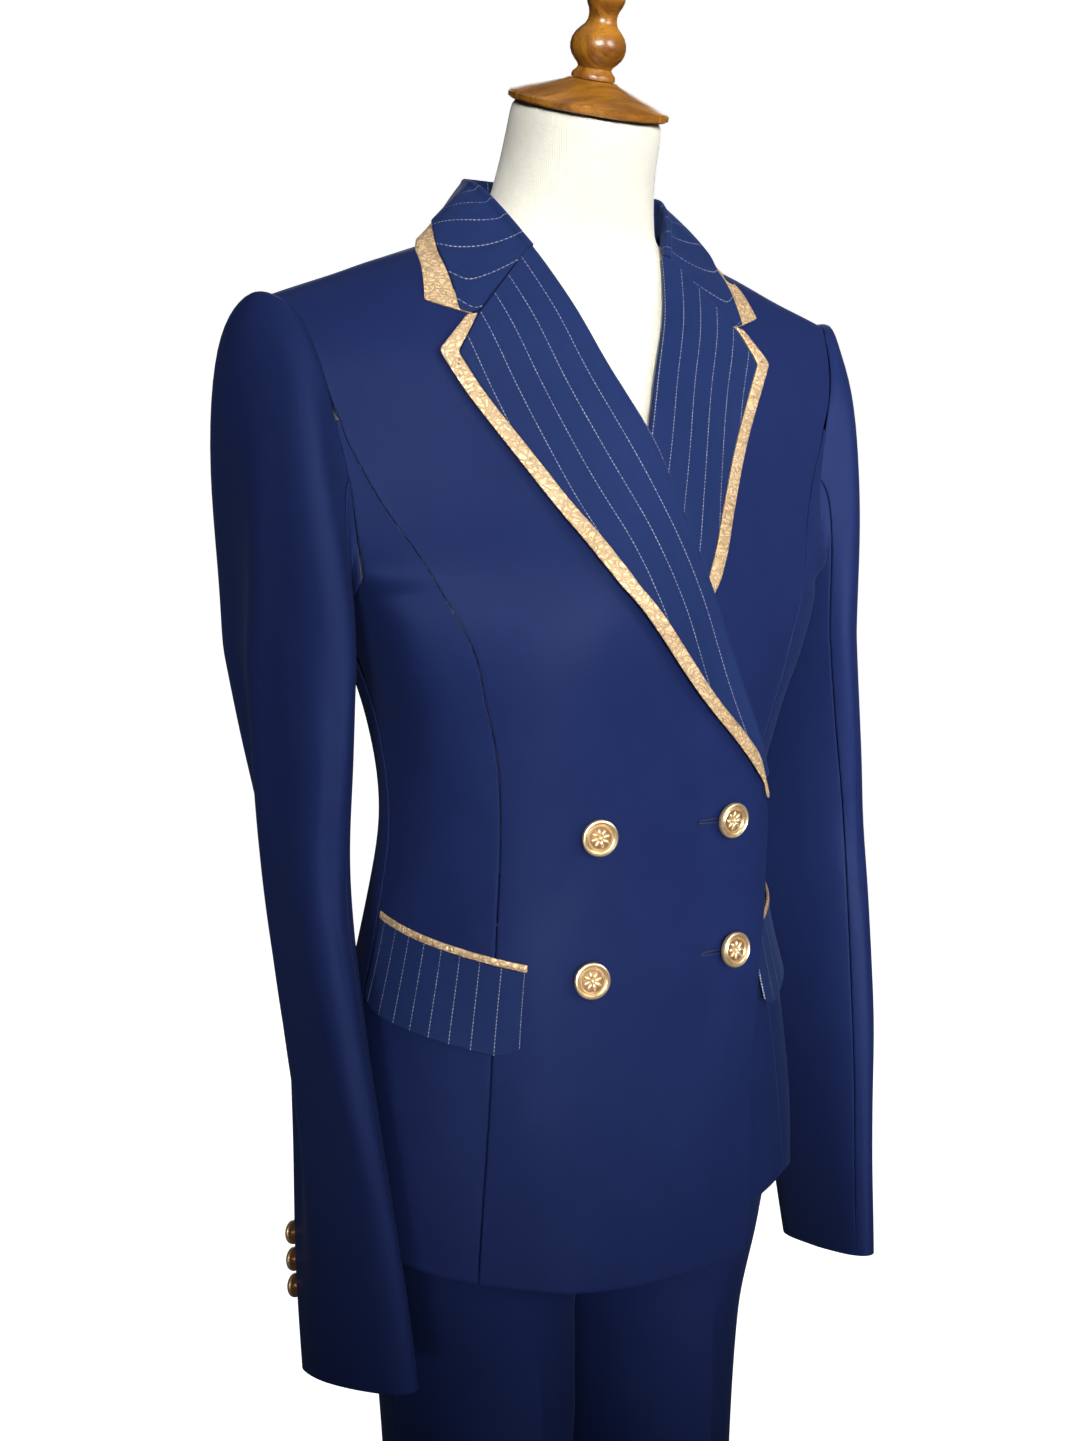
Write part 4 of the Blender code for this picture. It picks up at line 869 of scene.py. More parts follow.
def pinstripe_wool():
    """Bluer navy wool with fine silvery stripes, each a row of short bright dashes."""
    material, shader = new_material("navy_stripe_twill", "navy_pinstripe", Roughness=0.58,
                                    Sheen_Weight=0.04, Sheen_Roughness=0.5,
                                    Sheen_Tint=(0.30, 0.46, 1.0, 1.0), Specular_IOR_Level=0.07,
                                    Specular_Tint=(0.50, 0.62, 1.0, 1.0))
    tree = material.node_tree
    cloth_uv = value(material, "ShaderNodeUVMap", uv_map="cloth")
    where = value(material, "ShaderNodeTexCoord")
    weave = place_effect(material, TWILL, Thread=0.0011)
    cloud = place_effect(material, CLOUDING, Scale=14.0)
    dye = ramp(material, 0.30, (0.0070, 0.0140, 0.054, 1), 0.72, (0.0090, 0.0175, 0.066, 1))
    # The dye multiplied by the weave's Shade: painted shade in the twill's grooves and painted highlight on its ribs.
    dye_with_weave_shade = shaded_by(material)
    across = value(material, "ShaderNodeSeparateXYZ")
    turn = calc(material, "DIVIDE", in_1=STRIPE_STEP)
    wave = to_and_fro(material)
    line = ranged(material, 0.020, 0.008, 0.0, 1.0)
    dashes = calc(material, "DIVIDE", in_1=0.0021)
    dash_wave = to_and_fro(material)
    dash = ranged(material, 0.14, 0.24, 0.10, 1.0)
    both = calc(material, "MULTIPLY")
    fleck = noise(material, 420.0, 1.0)
    bright = ranged(material, 0.30, 0.60, 0.35, 1.0)
    silver = calc(material, "MULTIPLY")
    striped = value(material, "ShaderNodeMix", data_type="RGBA", in_7=(0.30, 0.32, 0.36, 1.0))
    relief = value(material, "ShaderNodeBump", in_0=0.5, in_1=0.00022)
    raised = calc(material, "MULTIPLY_ADD", in_1=1.5)
    wire(tree, (cloth_uv, 0, weave, "Cloth"), (where, "Object", cloud, "Place"), (cloud, "Mask", dye, 0),
         (dye, 0, dye_with_weave_shade, 6), (weave, "Shade", dye_with_weave_shade, 7), (cloth_uv, 0, across, 0), (across, "X", turn, 0),
         (turn, 0, wave, 0), (wave, 0, line, 0), (across, "Y", dashes, 0), (dashes, 0, dash_wave, 0),
         (dash_wave, 0, dash, 0), (line, 0, both, 0), (dash, 0, both, 1), (cloth_uv, 0, fleck, "Vector"),
         (fleck, "Fac", bright, 0), (both, 0, silver, 0), (bright, 0, silver, 1), (silver, 0, striped, 0),
         (dye_with_weave_shade, 2, striped, 6), (striped, 2, shader, "Base Color"), (silver, 0, raised, 0),
         (weave, "Height", raised, 2), (raised, 0, relief, "Height"), (relief, 0, shader, "Normal"))
    return material


def metallic_leather():
    """Rose-gold foiled leather: tooled curls, a pebbled grain and dark specks."""
    material, shader = new_material("rose_gold_leather", "tan_metallic_leather", Metallic=0.35,
                                    Specular_IOR_Level=0.5, Coat_Roughness=0.35)
    tree = material.node_tree
    where = value(material, "ShaderNodeTexCoord")
    bend = noise(material, 95.0, 2.0)
    bent = value(material, "ShaderNodeVectorMath", operation="MULTIPLY_ADD", in_1=(0.012, 0.012, 0.012))
    curls = value(material, "ShaderNodeTexVoronoi", feature="DISTANCE_TO_EDGE", in_2=210.0)
    groove = ranged(material, 0.02, 0.16, 0.0, 1.0)
    scroll = value(material, "ShaderNodeTexWave", wave_type="RINGS", rings_direction="SPHERICAL", in_1=130.0,
                   in_2=9.0, in_3=2.0, in_4=1.6)
    scroll_line = ranged(material, 0.05, 0.35, 0.0, 1.0)
    grain = noise(material, 1400.0, 2.0)
    speck = noise(material, 330.0, 3.0)
    speck_mask = ranged(material, 0.30, 0.38, 0.0, 1.0)
    worn = place_effect(material, CLOUDING, Scale=42.0)
    foil = ramp(material, 0.32, (0.55, 0.352, 0.180, 1), 0.68, (0.74, 0.535, 0.310, 1))
    tooled = calc(material, "MULTIPLY")
    deep = ranged(material, 0.0, 1.0, 0.55, 1.0)
    dark = calc(material, "MULTIPLY")
    speck_deep = ranged(material, 0.0, 1.0, 0.45, 1.0)
    shaded = shaded_by(material)
    height = calc(material, "MULTIPLY_ADD", in_1=0.25)
    relief = value(material, "ShaderNodeBump", in_0=0.75, in_1=0.0005)
    gloss = ranged(material, 0.0, 1.0, 0.55, 0.36)
    wire(tree, (where, "Object", bend, "Vector"), (bend, "Color", bent, 0), (where, "Object", bent, 2),
         (bent, 0, curls, "Vector"), (bent, 0, scroll, "Vector"), (curls, "Distance", groove, 0),
         (scroll, "Fac", scroll_line, 0), (groove, 0, tooled, 0), (scroll_line, 0, tooled, 1),
         (tooled, 0, deep, 0), (where, "Object", speck, "Vector"), (speck, "Fac", speck_mask, 0),
         (speck_mask, 0, speck_deep, 0), (deep, 0, dark, 0), (speck_deep, 0, dark, 1),
         (where, "Object", worn, "Place"), (worn, "Mask", foil, 0), (foil, 0, shaded, 6), (dark, 0, shaded, 7),
         (shaded, 2, shader, "Base Color"), (where, "Object", grain, "Vector"), (grain, "Fac", height, 0),
         (tooled, 0, height, 2), (height, 0, relief, "Height"), (relief, 0, shader, "Normal"),
         (tooled, 0, gloss, 0), (gloss, 0, shader, "Roughness"))
    return material


PINSTRIPE = pinstripe_wool()
LEATHER = metallic_leather()


def lapel_edge(z):
    """How far from centre front the lapel's outer edge lies, on its own side."""
    return read(LAPEL_EDGE, ROLL_COLUMNS, "edge_x", z)


def lapel_inner(z):
    """Inner edge of the lapel's leather strip, on its own side."""
    return max(lapel_edge(z) - LAPEL_TRIM * LAPEL_TRIM_LEVEL, -roll_x(z) + 0.0022)


def lapel_point(sign, own_x, z, out):
    """Point over a front, at a distance from centre front on the lapel's own side."""
    x = own_x * sign
    return front_at(x, z, (right_lift(x, z) if sign < 0 else 0.0) + out)


def lapel_spring(sign, own_x, z):
    """How far the lapel springs off its front: nothing at the roll, most along the outer edge."""
    roll, edge = -roll_x(min(z, ROLL_TOP[1] - 0.001)), lapel_edge(z)
    out = min(max((own_x - roll) / max(edge - roll, 0.004), 0.0), 1.0)
    along = (z - BREAK[1]) / (LAPEL_POINT[1] - BREAK[1])
    most = smooth(along / 0.22) * mix(1.0, 0.25, smooth((along - 0.45) / 0.5))
    return LAPEL_SPRING * most * smooth(out) * (1.0 if sign < 0 else 0.5)


def along_roll(own_x, z):
    """Distance out from the roll line, and along it, on the flat lapel."""
    line = (Vector((ROLL_TOP[0], ROLL_TOP[1])) - Vector((-BREAK[0], BREAK[1]))).normalized()
    spot = Vector((own_x, z)) - Vector((-BREAK[0], BREAK[1]))
    return (spot.x * line.y - spot.y * line.x, spot.dot(line))


def lapel_cloth(name, sign, start):
    """The pinstripe part of a lapel: it wraps round the front's edge, then lies out to its leather strip."""
    inset = SEAM * 1.4
    corner = (lapel_inner(LAPEL_POINT[1]) - inset, LAPEL_POINT[1] - 0.001)
    gorge = (NOTCH[0] - inset, NOTCH[1] - inset)
    wraps = [math.pi * part for part in (0.92, 0.75, 0.6, 0.45, 0.3, 0.15)]
    across = [0.0, 0.02, *(0.06 + 0.9 * i / 14 for i in range(15)), 0.985, 1.0]
    ups = [mix(start, 1.0, i / 52) for i in range(52)] + [0.9985, 1.0]
    radius = (REST + LAPEL_WALL + JACKET_WALL + 0.0006) / 2

    def own_place(column, row):
        part = ups[row]
        roll_z = mix(BREAK[1], ROLL_TOP[1] - inset, part)
        edge_z = mix(BREAK[1], corner[1], part)
        roll = (-roll_x(roll_z), roll_z)
        edge = (max(lapel_inner(edge_z) - inset, roll[0] + 0.0015), edge_z)
        spot = across[max(column - len(wraps), 0)]
        x, z = mix(roll[0], edge[0], spot), mix(roll[1], edge[1], spot)
        knee = (gorge[0] - roll[0]) / (corner[0] - roll[0])
        tent = spot / knee if spot < knee else (1 - spot) / (1 - knee)
        z += (gorge[1] - mix(roll[1], edge[1], knee)) * tent * smooth((part - 0.90) / 0.10)
        return x, z

    def place(column, row):
        x, z = own_place(column, row)
        if column < len(wraps):
            angle = wraps[column]
            out = REST + LAPEL_WALL - radius + radius * math.cos(angle)
            return lapel_point(sign, x - radius * math.sin(angle) * 1.05, z, out)
        return lapel_point(sign, x, z, REST + LAPEL_WALL + lapel_spring(sign, x, z))

    def measure(column, row):
        x, z = own_place(column, row)
        out, along = along_roll(x, z)
        if column < len(wraps):
            out -= radius * wraps[column]
        return (out + 0.0045, along)

    count = len(wraps) + len(across)
    return sew(name, place, range(count), range(len(ups)), (sign * 0.1, -1.0, 1.25), measure, PINSTRIPE,
               LAPEL_WALL)


def lapel_trim(name, sign, start):
    """Leather strip, from the notch round the lapel's point and down its edge to the break."""
    turn = 8
    parts = [mix(start, 1.0, i / 60) for i in range(61)]
    across = [0.0, 0.06, 0.28, 0.5, 0.72, 0.94, 1.0]

    def place(column, row):
        spot = across[column]
        if row <= turn:
            part = row / turn
            inner = (mix(NOTCH[0], lapel_inner(LAPEL_POINT[1]), part), mix(NOTCH[1], LAPEL_POINT[1] - 0.001, part))
            outer = (mix(NOTCH[0] + LAPEL_TOP_TRIM, LAPEL_POINT[0], part),
                     mix(NOTCH[1] - 0.0007, LAPEL_POINT[1], part))
        else:
            part = parts[len(parts) - 1 + turn - row]
            inner_z = mix(BREAK[1], LAPEL_POINT[1] - 0.001, part)
            outer_z = mix(BREAK[1], LAPEL_POINT[1], part)
            inner = (max(lapel_inner(inner_z), -roll_x(inner_z) + 0.0018), inner_z)
            outer = (max(lapel_edge(outer_z), inner[0] + 0.0012), outer_z)
        x, z = mix(inner[0], outer[0], spot), mix(inner[1], outer[1], spot)
        rounded = 0.0005 * (1 - (2 * spot - 1) ** 6)
        return lapel_point(sign, x, z, REST + TRIM_WALL - 0.0002 + rounded + lapel_spring(sign, x, z))

    def measure(column, row):
        return (across[column] * LAPEL_TRIM, row * 0.0045)

    return sew(name, place, range(len(across)), range(len(parts) + turn), (sign * 0.1, -1.0, 1.25), measure, LEATHER,
               TRIM_WALL)


lapel_cloth("right_lapel", -1, 0.06)
lapel_trim("right_lapel_trim", -1, 0.02)
lapel_cloth("left_lapel", 1, LEFT_LAPEL_FROM)
lapel_trim("left_lapel_trim", 1, LEFT_LAPEL_FROM)


# ---- Collar ----
# Notched collar of the lapels' pinstripe: a stand round the neck, folded over to a fall, and the same
# leather strip round its outer edge and its two front ends.
COLLAR_COLUMNS = ("along", "fold_x", "fold_y", "fold_z", "edge_x", "edge_y", "edge_z", "stand", "upright")
COLLAR = (
    (0.00, 0.0480, -0.0370, 1.4165, 0.1170, -0.0330, 1.3840, 0.002, 0.0),
    (0.25, 0.0600, -0.0200, 1.4390, 0.1115, -0.0170, 1.4060, 0.010, 0.6),
    (0.40, 0.0645, -0.0085, 1.4500, 0.1055, -0.0035, 1.4215, 0.018, 0.85),
    (0.50, 0.0655, 0.0010, 1.4550, 0.0940, 0.0110, 1.4230, 0.026, 1.0),
    (0.75, 0.0460, 0.0395, 1.4630, 0.0690, 0.0600, 1.4110, 0.036, 1.0),
    (1.00, 0.0000, 0.0590, 1.4660, 0.0000, 0.0870, 1.4060, 0.040, 1.0),
)
COLLAR_FOLD = 0.0026
COLLAR_BULGE = 0.003
COLLAR_NOTCH = 0.62
COLLAR_TRIM_FROM = 0.80
COLLAR_HALF, COLLAR_DEEP = 0.128, 0.06     # of flat cloth, for its stripes
COLLAR_SLANT = 0.5              # its stripes swing level towards the front ends
COLLAR_END = 0.905              # where the strip across a front end begins


def behind(turn):
    """The turn on the back that lies behind one on the front."""
    return math.copysign(180, turn or 1.0) - turn


def settled(point, out):
    """Point moved out to the body surface plus a distance, if it lies within that."""
    if point.z > shoulder_height(point.x) - 0.0005:
        return point
    level = level_at(point.x, point.z)
    turn = turn_at(point.x, level)
    if point.y > 0:
        turn = behind(turn)
    skin = body(turn, level, out)
    return Vector((point.x, min(point.y, skin.y) if point.y <= 0 else max(point.y, skin.y), point.z))


def collar_place(u, v):
    """Point of the collar: u is -1 at the right gorge seam, 0 at centre back, 1 at the left one.

    v is -1 at the stand's lower edge, 0 on the fold and 1 at the fall's outer edge.
    """
    along = 1 - abs(u)
    row = {name: read(COLLAR, COLLAR_COLUMNS, name, along) for name in COLLAR_COLUMNS[1:]}
    fold = Vector((row["fold_x"], row["fold_y"], row["fold_z"]))
    edge = Vector((row["edge_x"], row["edge_y"], row["edge_z"]))
    fall = edge - fold
    outward = Vector((fall.x, fall.y, 0.0)).normalized()
    up = Vector((0.0, -1.0, 0.0)).lerp(Vector((0, 0, 1.0)), row["upright"]).normalized()
    outward = mix(fall.normalized(), outward, row["upright"]).normalized()
    if v <= -0.3:
        place = fold - outward * COLLAR_FOLD - up * row["stand"] * (-v - 0.3) / 0.7
    elif v <= 0.2:
        angle = math.pi * (0.2 - v) / 0.5
        place = fold + (outward * math.cos(angle) + up * math.sin(angle)) * COLLAR_FOLD
    else:
        part = (v - 0.2) / 0.8
        start = fold + outward * COLLAR_FOLD
        bulge = 4 * part * (1 - part) * COLLAR_BULGE
        notch = Vector((NOTCH[0] + 0.0008, 0, NOTCH[1] + 0.0012)) - fold.lerp(edge, COLLAR_NOTCH)
        peak = part / COLLAR_NOTCH if part < COLLAR_NOTCH else (1 - part) / (1 - COLLAR_NOTCH)
        place = start.lerp(edge, part) + up * bulge
        near_gorge = max(1 - along / 0.3, 0.0) ** 1.5
        place += Vector((notch.x, 0, notch.z)) * peak * near_gorge
        place = settled(place, REST + TRIM_WALL + 0.0002)
    return (math.copysign(place.x, u) if u else 0.0, place.y, place.z)


def collar_point(u, v, out):
    """Point of the collar moved out, away from the inside of its fold."""
    return moved_out(lambda a, b: collar_place(u + a, v + b), -1e-4 if u > 0.999 else 1e-4,
                     1e-4 if v < 0.15 or 0.2 <= v < 0.99 else -1e-4, -out)


def collar_cloth():
    """Stand and fall in one wall, folded over, up to the leather strip."""
    spots = [-1.0, -0.97, -0.8, -0.62, -0.45, -0.3, -0.22, -0.135, -0.05, 0.035, 0.115, 0.2, 0.27, 0.34, 0.41, 0.48,
             0.55, 0.62, 0.69, 0.75, 0.785, COLLAR_TRIM_FROM - 0.006]
    ends = edged(64, 0.004)

    def place(column, row):
        return collar_point(mix(-1.0, 1.0, ends[column]) * 0.996, spots[row], 0.0)

    def measure(column, row):
        u = mix(-1.0, 1.0, ends[column])
        slant = COLLAR_SLANT * smooth((abs(u) - 0.30) / 0.35) * max(spots[row] - 0.2, 0.0) * 0.08
        return (u * COLLAR_HALF + math.copysign(slant, u) + 0.0056, spots[row] * COLLAR_DEEP)

    return sew("collar", place, range(len(ends)), range(len(spots)), (0.0, 0.6, 1.8), measure, PINSTRIPE, LAPEL_WALL)


def collar_trim():
    """Leather strip round the collar's outer edge, mitred at its two points, and up to the notches."""
    end_rows = 9
    along = edged(60, 0.004)
    across = [0.0, 0.06, 0.28, 0.5, 0.72, 0.94, 1.0]
    last = 2 * end_rows + len(along) - 1

    def spot(column, row):
        part = across[column]
        if row < end_rows or row > last - end_rows:
            side = -1 if row < end_rows else 1
            run = row / end_rows if side < 0 else (last - row) / end_rows
            v_in = mix(COLLAR_NOTCH * 0.8 + 0.215, COLLAR_TRIM_FROM, run)
            v_out = mix(COLLAR_NOTCH * 0.8 + 0.215, 1.0, run)
            return side * mix(COLLAR_END, 0.996, part), mix(v_in, v_out, part)
        u = mix(-1.0, 1.0, along[row - end_rows])
        return mix(u * COLLAR_END, u * 0.996, part), mix(COLLAR_TRIM_FROM, 1.0, part)

    def place(column, row):
        u, v = spot(column, row)
        rounded = 0.0004 * (1 - (2 * across[column] - 1) ** 6)
        return collar_point(u, v, 0.0009 + rounded)

    def measure(column, row):
        return (across[column] * LAPEL_TRIM, row * 0.0045)

    return sew("collar_trim", place, range(len(across)), range(last + 1), (0.0, 0.6, 1.8), measure, LEATHER, 0.0013)


collar_cloth()
collar_trim()


# ---- Pocket flaps ----
# A curved pinstripe flap on each hip with its stripes upright, hung from a narrow leather welt.
FLAP_WALL = 0.0015
FLAP_HEIGHT = 0.050
WELT_HEIGHT = 0.0048
FLAP_TURNS = (35.8, 85.0)       # front and back end of a pocket flap
FLAP_TOP = (1.0055, 1.0275)     # height of its top edge at those ends


def flap_point(sign, turn, z, out):
    """Point over a pocket, on the jacket's outer face."""
    x, _, _ = body_place(turn * sign, z)
    return body(turn * sign, z, (right_lift(x, z) if sign < 0 else 0.0) + out)


def pocket_flap(side, sign):
    """Pinstripe flap, springing a little off the jacket at its lower edge, with its leather welt."""
    parts, ups = edged(34, 0.008), edged(14, 0.018)
    welt_ups = [0.0, 0.12, 0.5, 0.88, 1.0]

    def flap(column, row):
        across, up = parts[column], ups[row]
        top = mix(*FLAP_TOP, across)
        corner = 0.0075 * max(1 - across * 8, across * 8 - 7, 0.0) ** 2
        z = mix(top - FLAP_HEIGHT + corner, top - SEAM, up)
        spring = 0.0022 * (1 - up) ** 2 + 0.0008 * max(1 - across * 5, 0) * (1 - up)
        return flap_point(sign, mix(*FLAP_TURNS, across), z, REST / 2 + FLAP_WALL + spring)

    def welt(column, row):
        across, up = parts[column], welt_ups[row]
        z = mix(*FLAP_TOP, across) + WELT_HEIGHT * up
        turn = mix(FLAP_TURNS[0] - 0.5, FLAP_TURNS[1] + 0.5, across)
        return flap_point(sign, turn, z, REST / 2 + TRIM_WALL + 0.0006 * (1 - (2 * up - 1) ** 4))

    def measure(column, row):
        return (parts[column] * 0.118, ups[row] * FLAP_HEIGHT)

    outside = (sign * 0.5, -0.8, 1.0)
    sew(f"{side}_flap", flap, range(len(parts)), range(len(ups)), outside, measure, PINSTRIPE, FLAP_WALL)
    sew(f"{side}_flap_welt", welt, range(len(parts)), range(len(welt_ups)), outside,
        lambda column, row: (parts[column] * 0.12, row * 0.0012), LEATHER, TRIM_WALL)


for side, sign in SIDES:
    pocket_flap(side, sign)


# ---- Buttons and buttonholes ----
# Gilt metal shank buttons, each with a raised rim, an inner ring and a small rosette: four on the front
# and three on each cuff.  The two on the front edge fasten through buttonholes worked over with navy twist.
BUTTON_RADIUS = 0.0108
BUTTONS = (("upper_right", -0.042, 1.083), ("upper_left", 0.0439, 1.085),
           ("lower_right", -0.048, 1.000), ("lower_left", 0.0459, 1.005))    # name, x and z
CUFF_BUTTON_RADIUS = 0.0073
CUFF_BUTTON_HEIGHTS = (0.8138, 0.8275, 0.8412)     # on the middle of the sleeve
CUFF_BUTTON_STEP = -4.2         # armhole step of the sleeve's line they stand on
FRONT_BUTTON = ((0.0, 0.0), (0.0030, 0.0), (0.0030, 0.0022), (0.0098, 0.0024), (0.0106, 0.0030),
                (BUTTON_RADIUS, 0.0039), (0.0107, 0.0050), (0.0103, 0.0056), (0.0097, 0.0058), (0.0092, 0.0055),
                (0.0088, 0.0048), (0.0083, 0.0046), (0.0078, 0.0049), (0.0074, 0.0053), (0.0070, 0.0053),
                (0.0066, 0.0049), (0.0062, 0.0045), (0.0030, 0.0047), (0.0, 0.0048))
CUFF_BUTTON = ((0.0, 0.0), (0.0022, 0.0), (0.0022, 0.0016), (0.0066, 0.0018), (0.0072, 0.0023),
               (CUFF_BUTTON_RADIUS, 0.0030), (0.0072, 0.0038), (0.0068, 0.0042), (0.0063, 0.0043),
               (0.0059, 0.0040), (0.0056, 0.0036), (0.0051, 0.0036), (0.0047, 0.0039), (0.0043, 0.0038),
               (0.0040, 0.0035), (0.0, 0.0038))

CORD_ROUND, CORD_LONG, CORD_RADIUS = 0.0035, 0.048, 0.0006     # of the twist round a buttonhole
PETAL_MIDDLE, PETAL, BOSS = 0.60, (0.40, 0.20, 0.16), (0.24, 0.24, 0.20)    # in parts of the rosette's radius
INNER_RING = -6                 # point of a button's profile where the ring round its field is highest
FIELD_DARKENING, RIM_DARKENING = 0.9, 0.35


def gilt_metal():
    """Pale gilding, darker and browner on all of it that lies below the top of its field, and scratched finely where
    it is handled.
    """
    material, shader = new_material("pale_gilt", "gold_button", Metallic=0.85, Specular_IOR_Level=0.5)
    tree = material.node_tree
    where = value(material, "ShaderNodeTexCoord")
    tarnish = place_effect(material, CLOUDING, Scale=160.0)
    below_field = value(material, "ShaderNodeAttribute", attribute_name="below_field")
    gilt = value(material, "ShaderNodeMix", data_type="RGBA", in_6=(0.92, 0.72, 0.44, 1), in_7=(0.46, 0.27, 0.12, 1))
    # The gilt turns darker and browner with the random clouding and wherever a point lies below the top of the field.
    depth = calc(material, "MULTIPLY_ADD", in_1=0.30)
    gloss = ranged(material, 0.2, 0.8, 0.24, 0.42)
    scratch = noise(material, 1800.0, 2.0)
    relief = value(material, "ShaderNodeBump", in_0=0.25, in_1=0.0001)
    wire(tree, (where, "Object", tarnish, "Place"), (tarnish, "Mask", depth, 0), (below_field, "Fac", depth, 2),
         (depth, 0, gilt, 0), (gilt, 2, shader, "Base Color"), (tarnish, "Mask", gloss, 0),
         (gloss, 0, shader, "Roughness"), (where, "Object", scratch, "Vector"),
         (scratch, "Fac", relief, "Height"), (relief, 0, shader, "Normal"))
    return material


def navy_twist():
    """Thick navy silk twist, wound close: each turn a small rib across the cord."""
    material, shader = new_material("navy_twist", "navy_satin_wool", Base_Color=(0.008, 0.014, 0.050, 1.0),
                                    Roughness=0.5, Specular_IOR_Level=0.35)
    turns = value(material, "ShaderNodeUVMap", uv_map="cloth")
    along = value(material, "ShaderNodeSeparateXYZ")
    step = calc(material, "DIVIDE", in_1=0.0006)
    wave = to_and_fro(material)
    relief = value(material, "ShaderNodeBump", in_0=0.8, in_1=0.0004)
    wire(material.node_tree, (turns, 0, along, 0), (along, "Y", step, 0), (step, 0, wave, 0),
         (wave, 0, relief, "Height"), (relief, 0, shader, "Normal"))
    return material


GILT = gilt_metal()
TWIST = navy_twist()


def over_right(x, z, out):
    """Point over the right front as it stands, moved out square to it."""
    return moved_out(lambda a, b: tuple(front_at(x + a, z + b, right_lift(x + a, z + b))), 0.004, 0.004, out)


def hard_piece(name, mesh, material, stands_for, sharp=35):
    """A rigid piece, in place of its CAD node where it has one; edges over the sharp angle stay crisp."""
    bmesh.ops.recalc_face_normals(mesh, faces=mesh.faces[:])
    if mesh.calc_volume(signed=True) < 0:
        bmesh.ops.reverse_faces(mesh, faces=mesh.faces[:])
    data = as_data(name, mesh)
    data.set_sharp_from_angle(angle=math.radians(sharp))
    data.materials.append(material)
    piece = put(name, data)
    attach(piece, "root")
    if stands_for:
        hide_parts(stands_for)
    return piece


def lathe(profile, segments):
    """A turned bmesh from (radius, height) pairs that run from the bottom of its axis to the top."""
    mesh = bmesh.new()
    ring = [mesh.verts.new((radius, 0.0, height)) for radius, height in profile]
    edges = [mesh.edges.new(pair) for pair in zip(ring, ring[1:])]
    bmesh.ops.spin(mesh, geom=ring + edges, axis=(0, 0, 1), cent=(0, 0, 0),
                   steps=segments, angle=2 * math.pi, use_merge=True)
    bmesh.ops.remove_doubles(mesh, verts=mesh.verts[:], dist=1e-6)
    return mesh


def button(name, place, facing, profile, segments, petals):
    """A shank button with its back at a place; petals is the rosette's radius, field height and count."""
    mesh = lathe(profile, segments)
    reach, field, count = petals
    for i in range(count):
        leaf = (Matrix.Rotation(2 * math.pi * i / count, 4, "Z")
                @ Matrix.Translation((reach * PETAL_MIDDLE, 0, field))
                @ Matrix.Diagonal([*(reach * half for half in PETAL), 1.0]))
        bmesh.ops.create_uvsphere(mesh, u_segments=10, v_segments=6, radius=1.0, matrix=leaf)
    boss = (Matrix.Translation((0, 0, field + reach * 0.03))
            @ Matrix.Diagonal([*(reach * half for half in BOSS), 1.0]))
    bmesh.ops.create_uvsphere(mesh, u_segments=16, v_segments=8, radius=1.0, matrix=boss)
    # Every point below the top of the field, the petals' undersides, the rim's outer side and the back included, is
    # marked to be coloured darker and browner.
    below_field = mesh.verts.layers.float.new("below_field")
    for vertex in mesh.verts:
        on_field = math.hypot(vertex.co.x, vertex.co.y) < profile[INNER_RING][0] * 1.25
        sunk = smooth((field + reach * 0.06 - vertex.co.z) / (reach * 0.10))
        vertex[below_field] = sunk * (FIELD_DARKENING if on_field else RIM_DARKENING)
    turn = Vector((0, 0, 1)).rotation_difference(facing.normalized()).to_matrix().to_4x4()
    bmesh.ops.transform(mesh, matrix=Matrix.Translation(place) @ turn, verts=mesh.verts[:])
    hard_piece(f"{name}_gilt", mesh, GILT, name)


def buttonhole(name, x, z):
    """A worked buttonhole: a slit under the button with a round eye at its end, edged by one cord."""
    mesh = bmesh.new()
    rounds, along = 8, 72
    bmesh.ops.create_grid(mesh, x_segments=rounds, y_segments=along, size=0.5, calc_uvs=True)
    lay_flat(mesh, lambda vertex: ((vertex.co.x + 0.5) * CORD_ROUND, (vertex.co.y + 0.5) * CORD_LONG))

    def slit(part):
        """Middle line of the cord: out along the slit, round its end, and back round the eye."""
        angle = 2 * math.pi * part
        width = 0.0011 + 0.0007 * smooth((math.cos(angle) - 0.55) / 0.4)
        return x - 0.0090 + 0.0118 * math.copysign(abs(math.cos(angle)) ** 0.55, math.cos(angle)), \
            z + width * math.copysign(abs(math.sin(angle)) ** 0.35, math.sin(angle))

    for vertex in mesh.verts:
        part, around = vertex.co.y + 0.5, 2 * math.pi * (vertex.co.x + 0.5)
        here, ahead = Vector(slit(part)), Vector(slit((part + 0.004) % 1.0))
        side = (ahead - here).normalized()
        spot = here + Vector((side.y, -side.x)) * CORD_RADIUS * math.cos(around)
        vertex.co = over_right(spot.x, spot.y, CORD_RADIUS * (0.5 + math.sin(around)))
    bmesh.ops.remove_doubles(mesh, verts=mesh.verts[:], dist=2e-5)
    piece = hard_piece(name, mesh, TWIST, None, sharp=180)
    piece.data.uv_layers[0].name = "cloth"


for which, x, z in BUTTONS:
    seat = over_right(x, z, SEAM + 0.0004)
    button(f"front_button_{which}", seat, over_right(x, z, 1.0) - seat, FRONT_BUTTON, 64, (0.0058, 0.0047, 8))
buttonhole("upper_buttonhole", 0.0439, 1.085)
buttonhole("lower_buttonhole", 0.0459, 1.005)
for side, sign in SIDES:
    mirror = Vector((sign, 1, 1))
    for number, height in enumerate(CUFF_BUTTON_HEIGHTS, 1):
        down = 1 + (SLEEVE[-1][0] - height) / (SLEEVE[-1][0] - SLEEVE[0][0])
        lift = sleeve_relief(CUFF_BUTTON_STEP, down)
        seat = sleeve_point(CUFF_BUTTON_STEP, down, SEAM + lift)
        facing = (sleeve_point(CUFF_BUTTON_STEP, down, 1.0) - seat) * mirror
        button(f"{side}_cuff_button_{number}", seat * mirror, facing, CUFF_BUTTON, 48, (0.0036, 0.0037, 6))


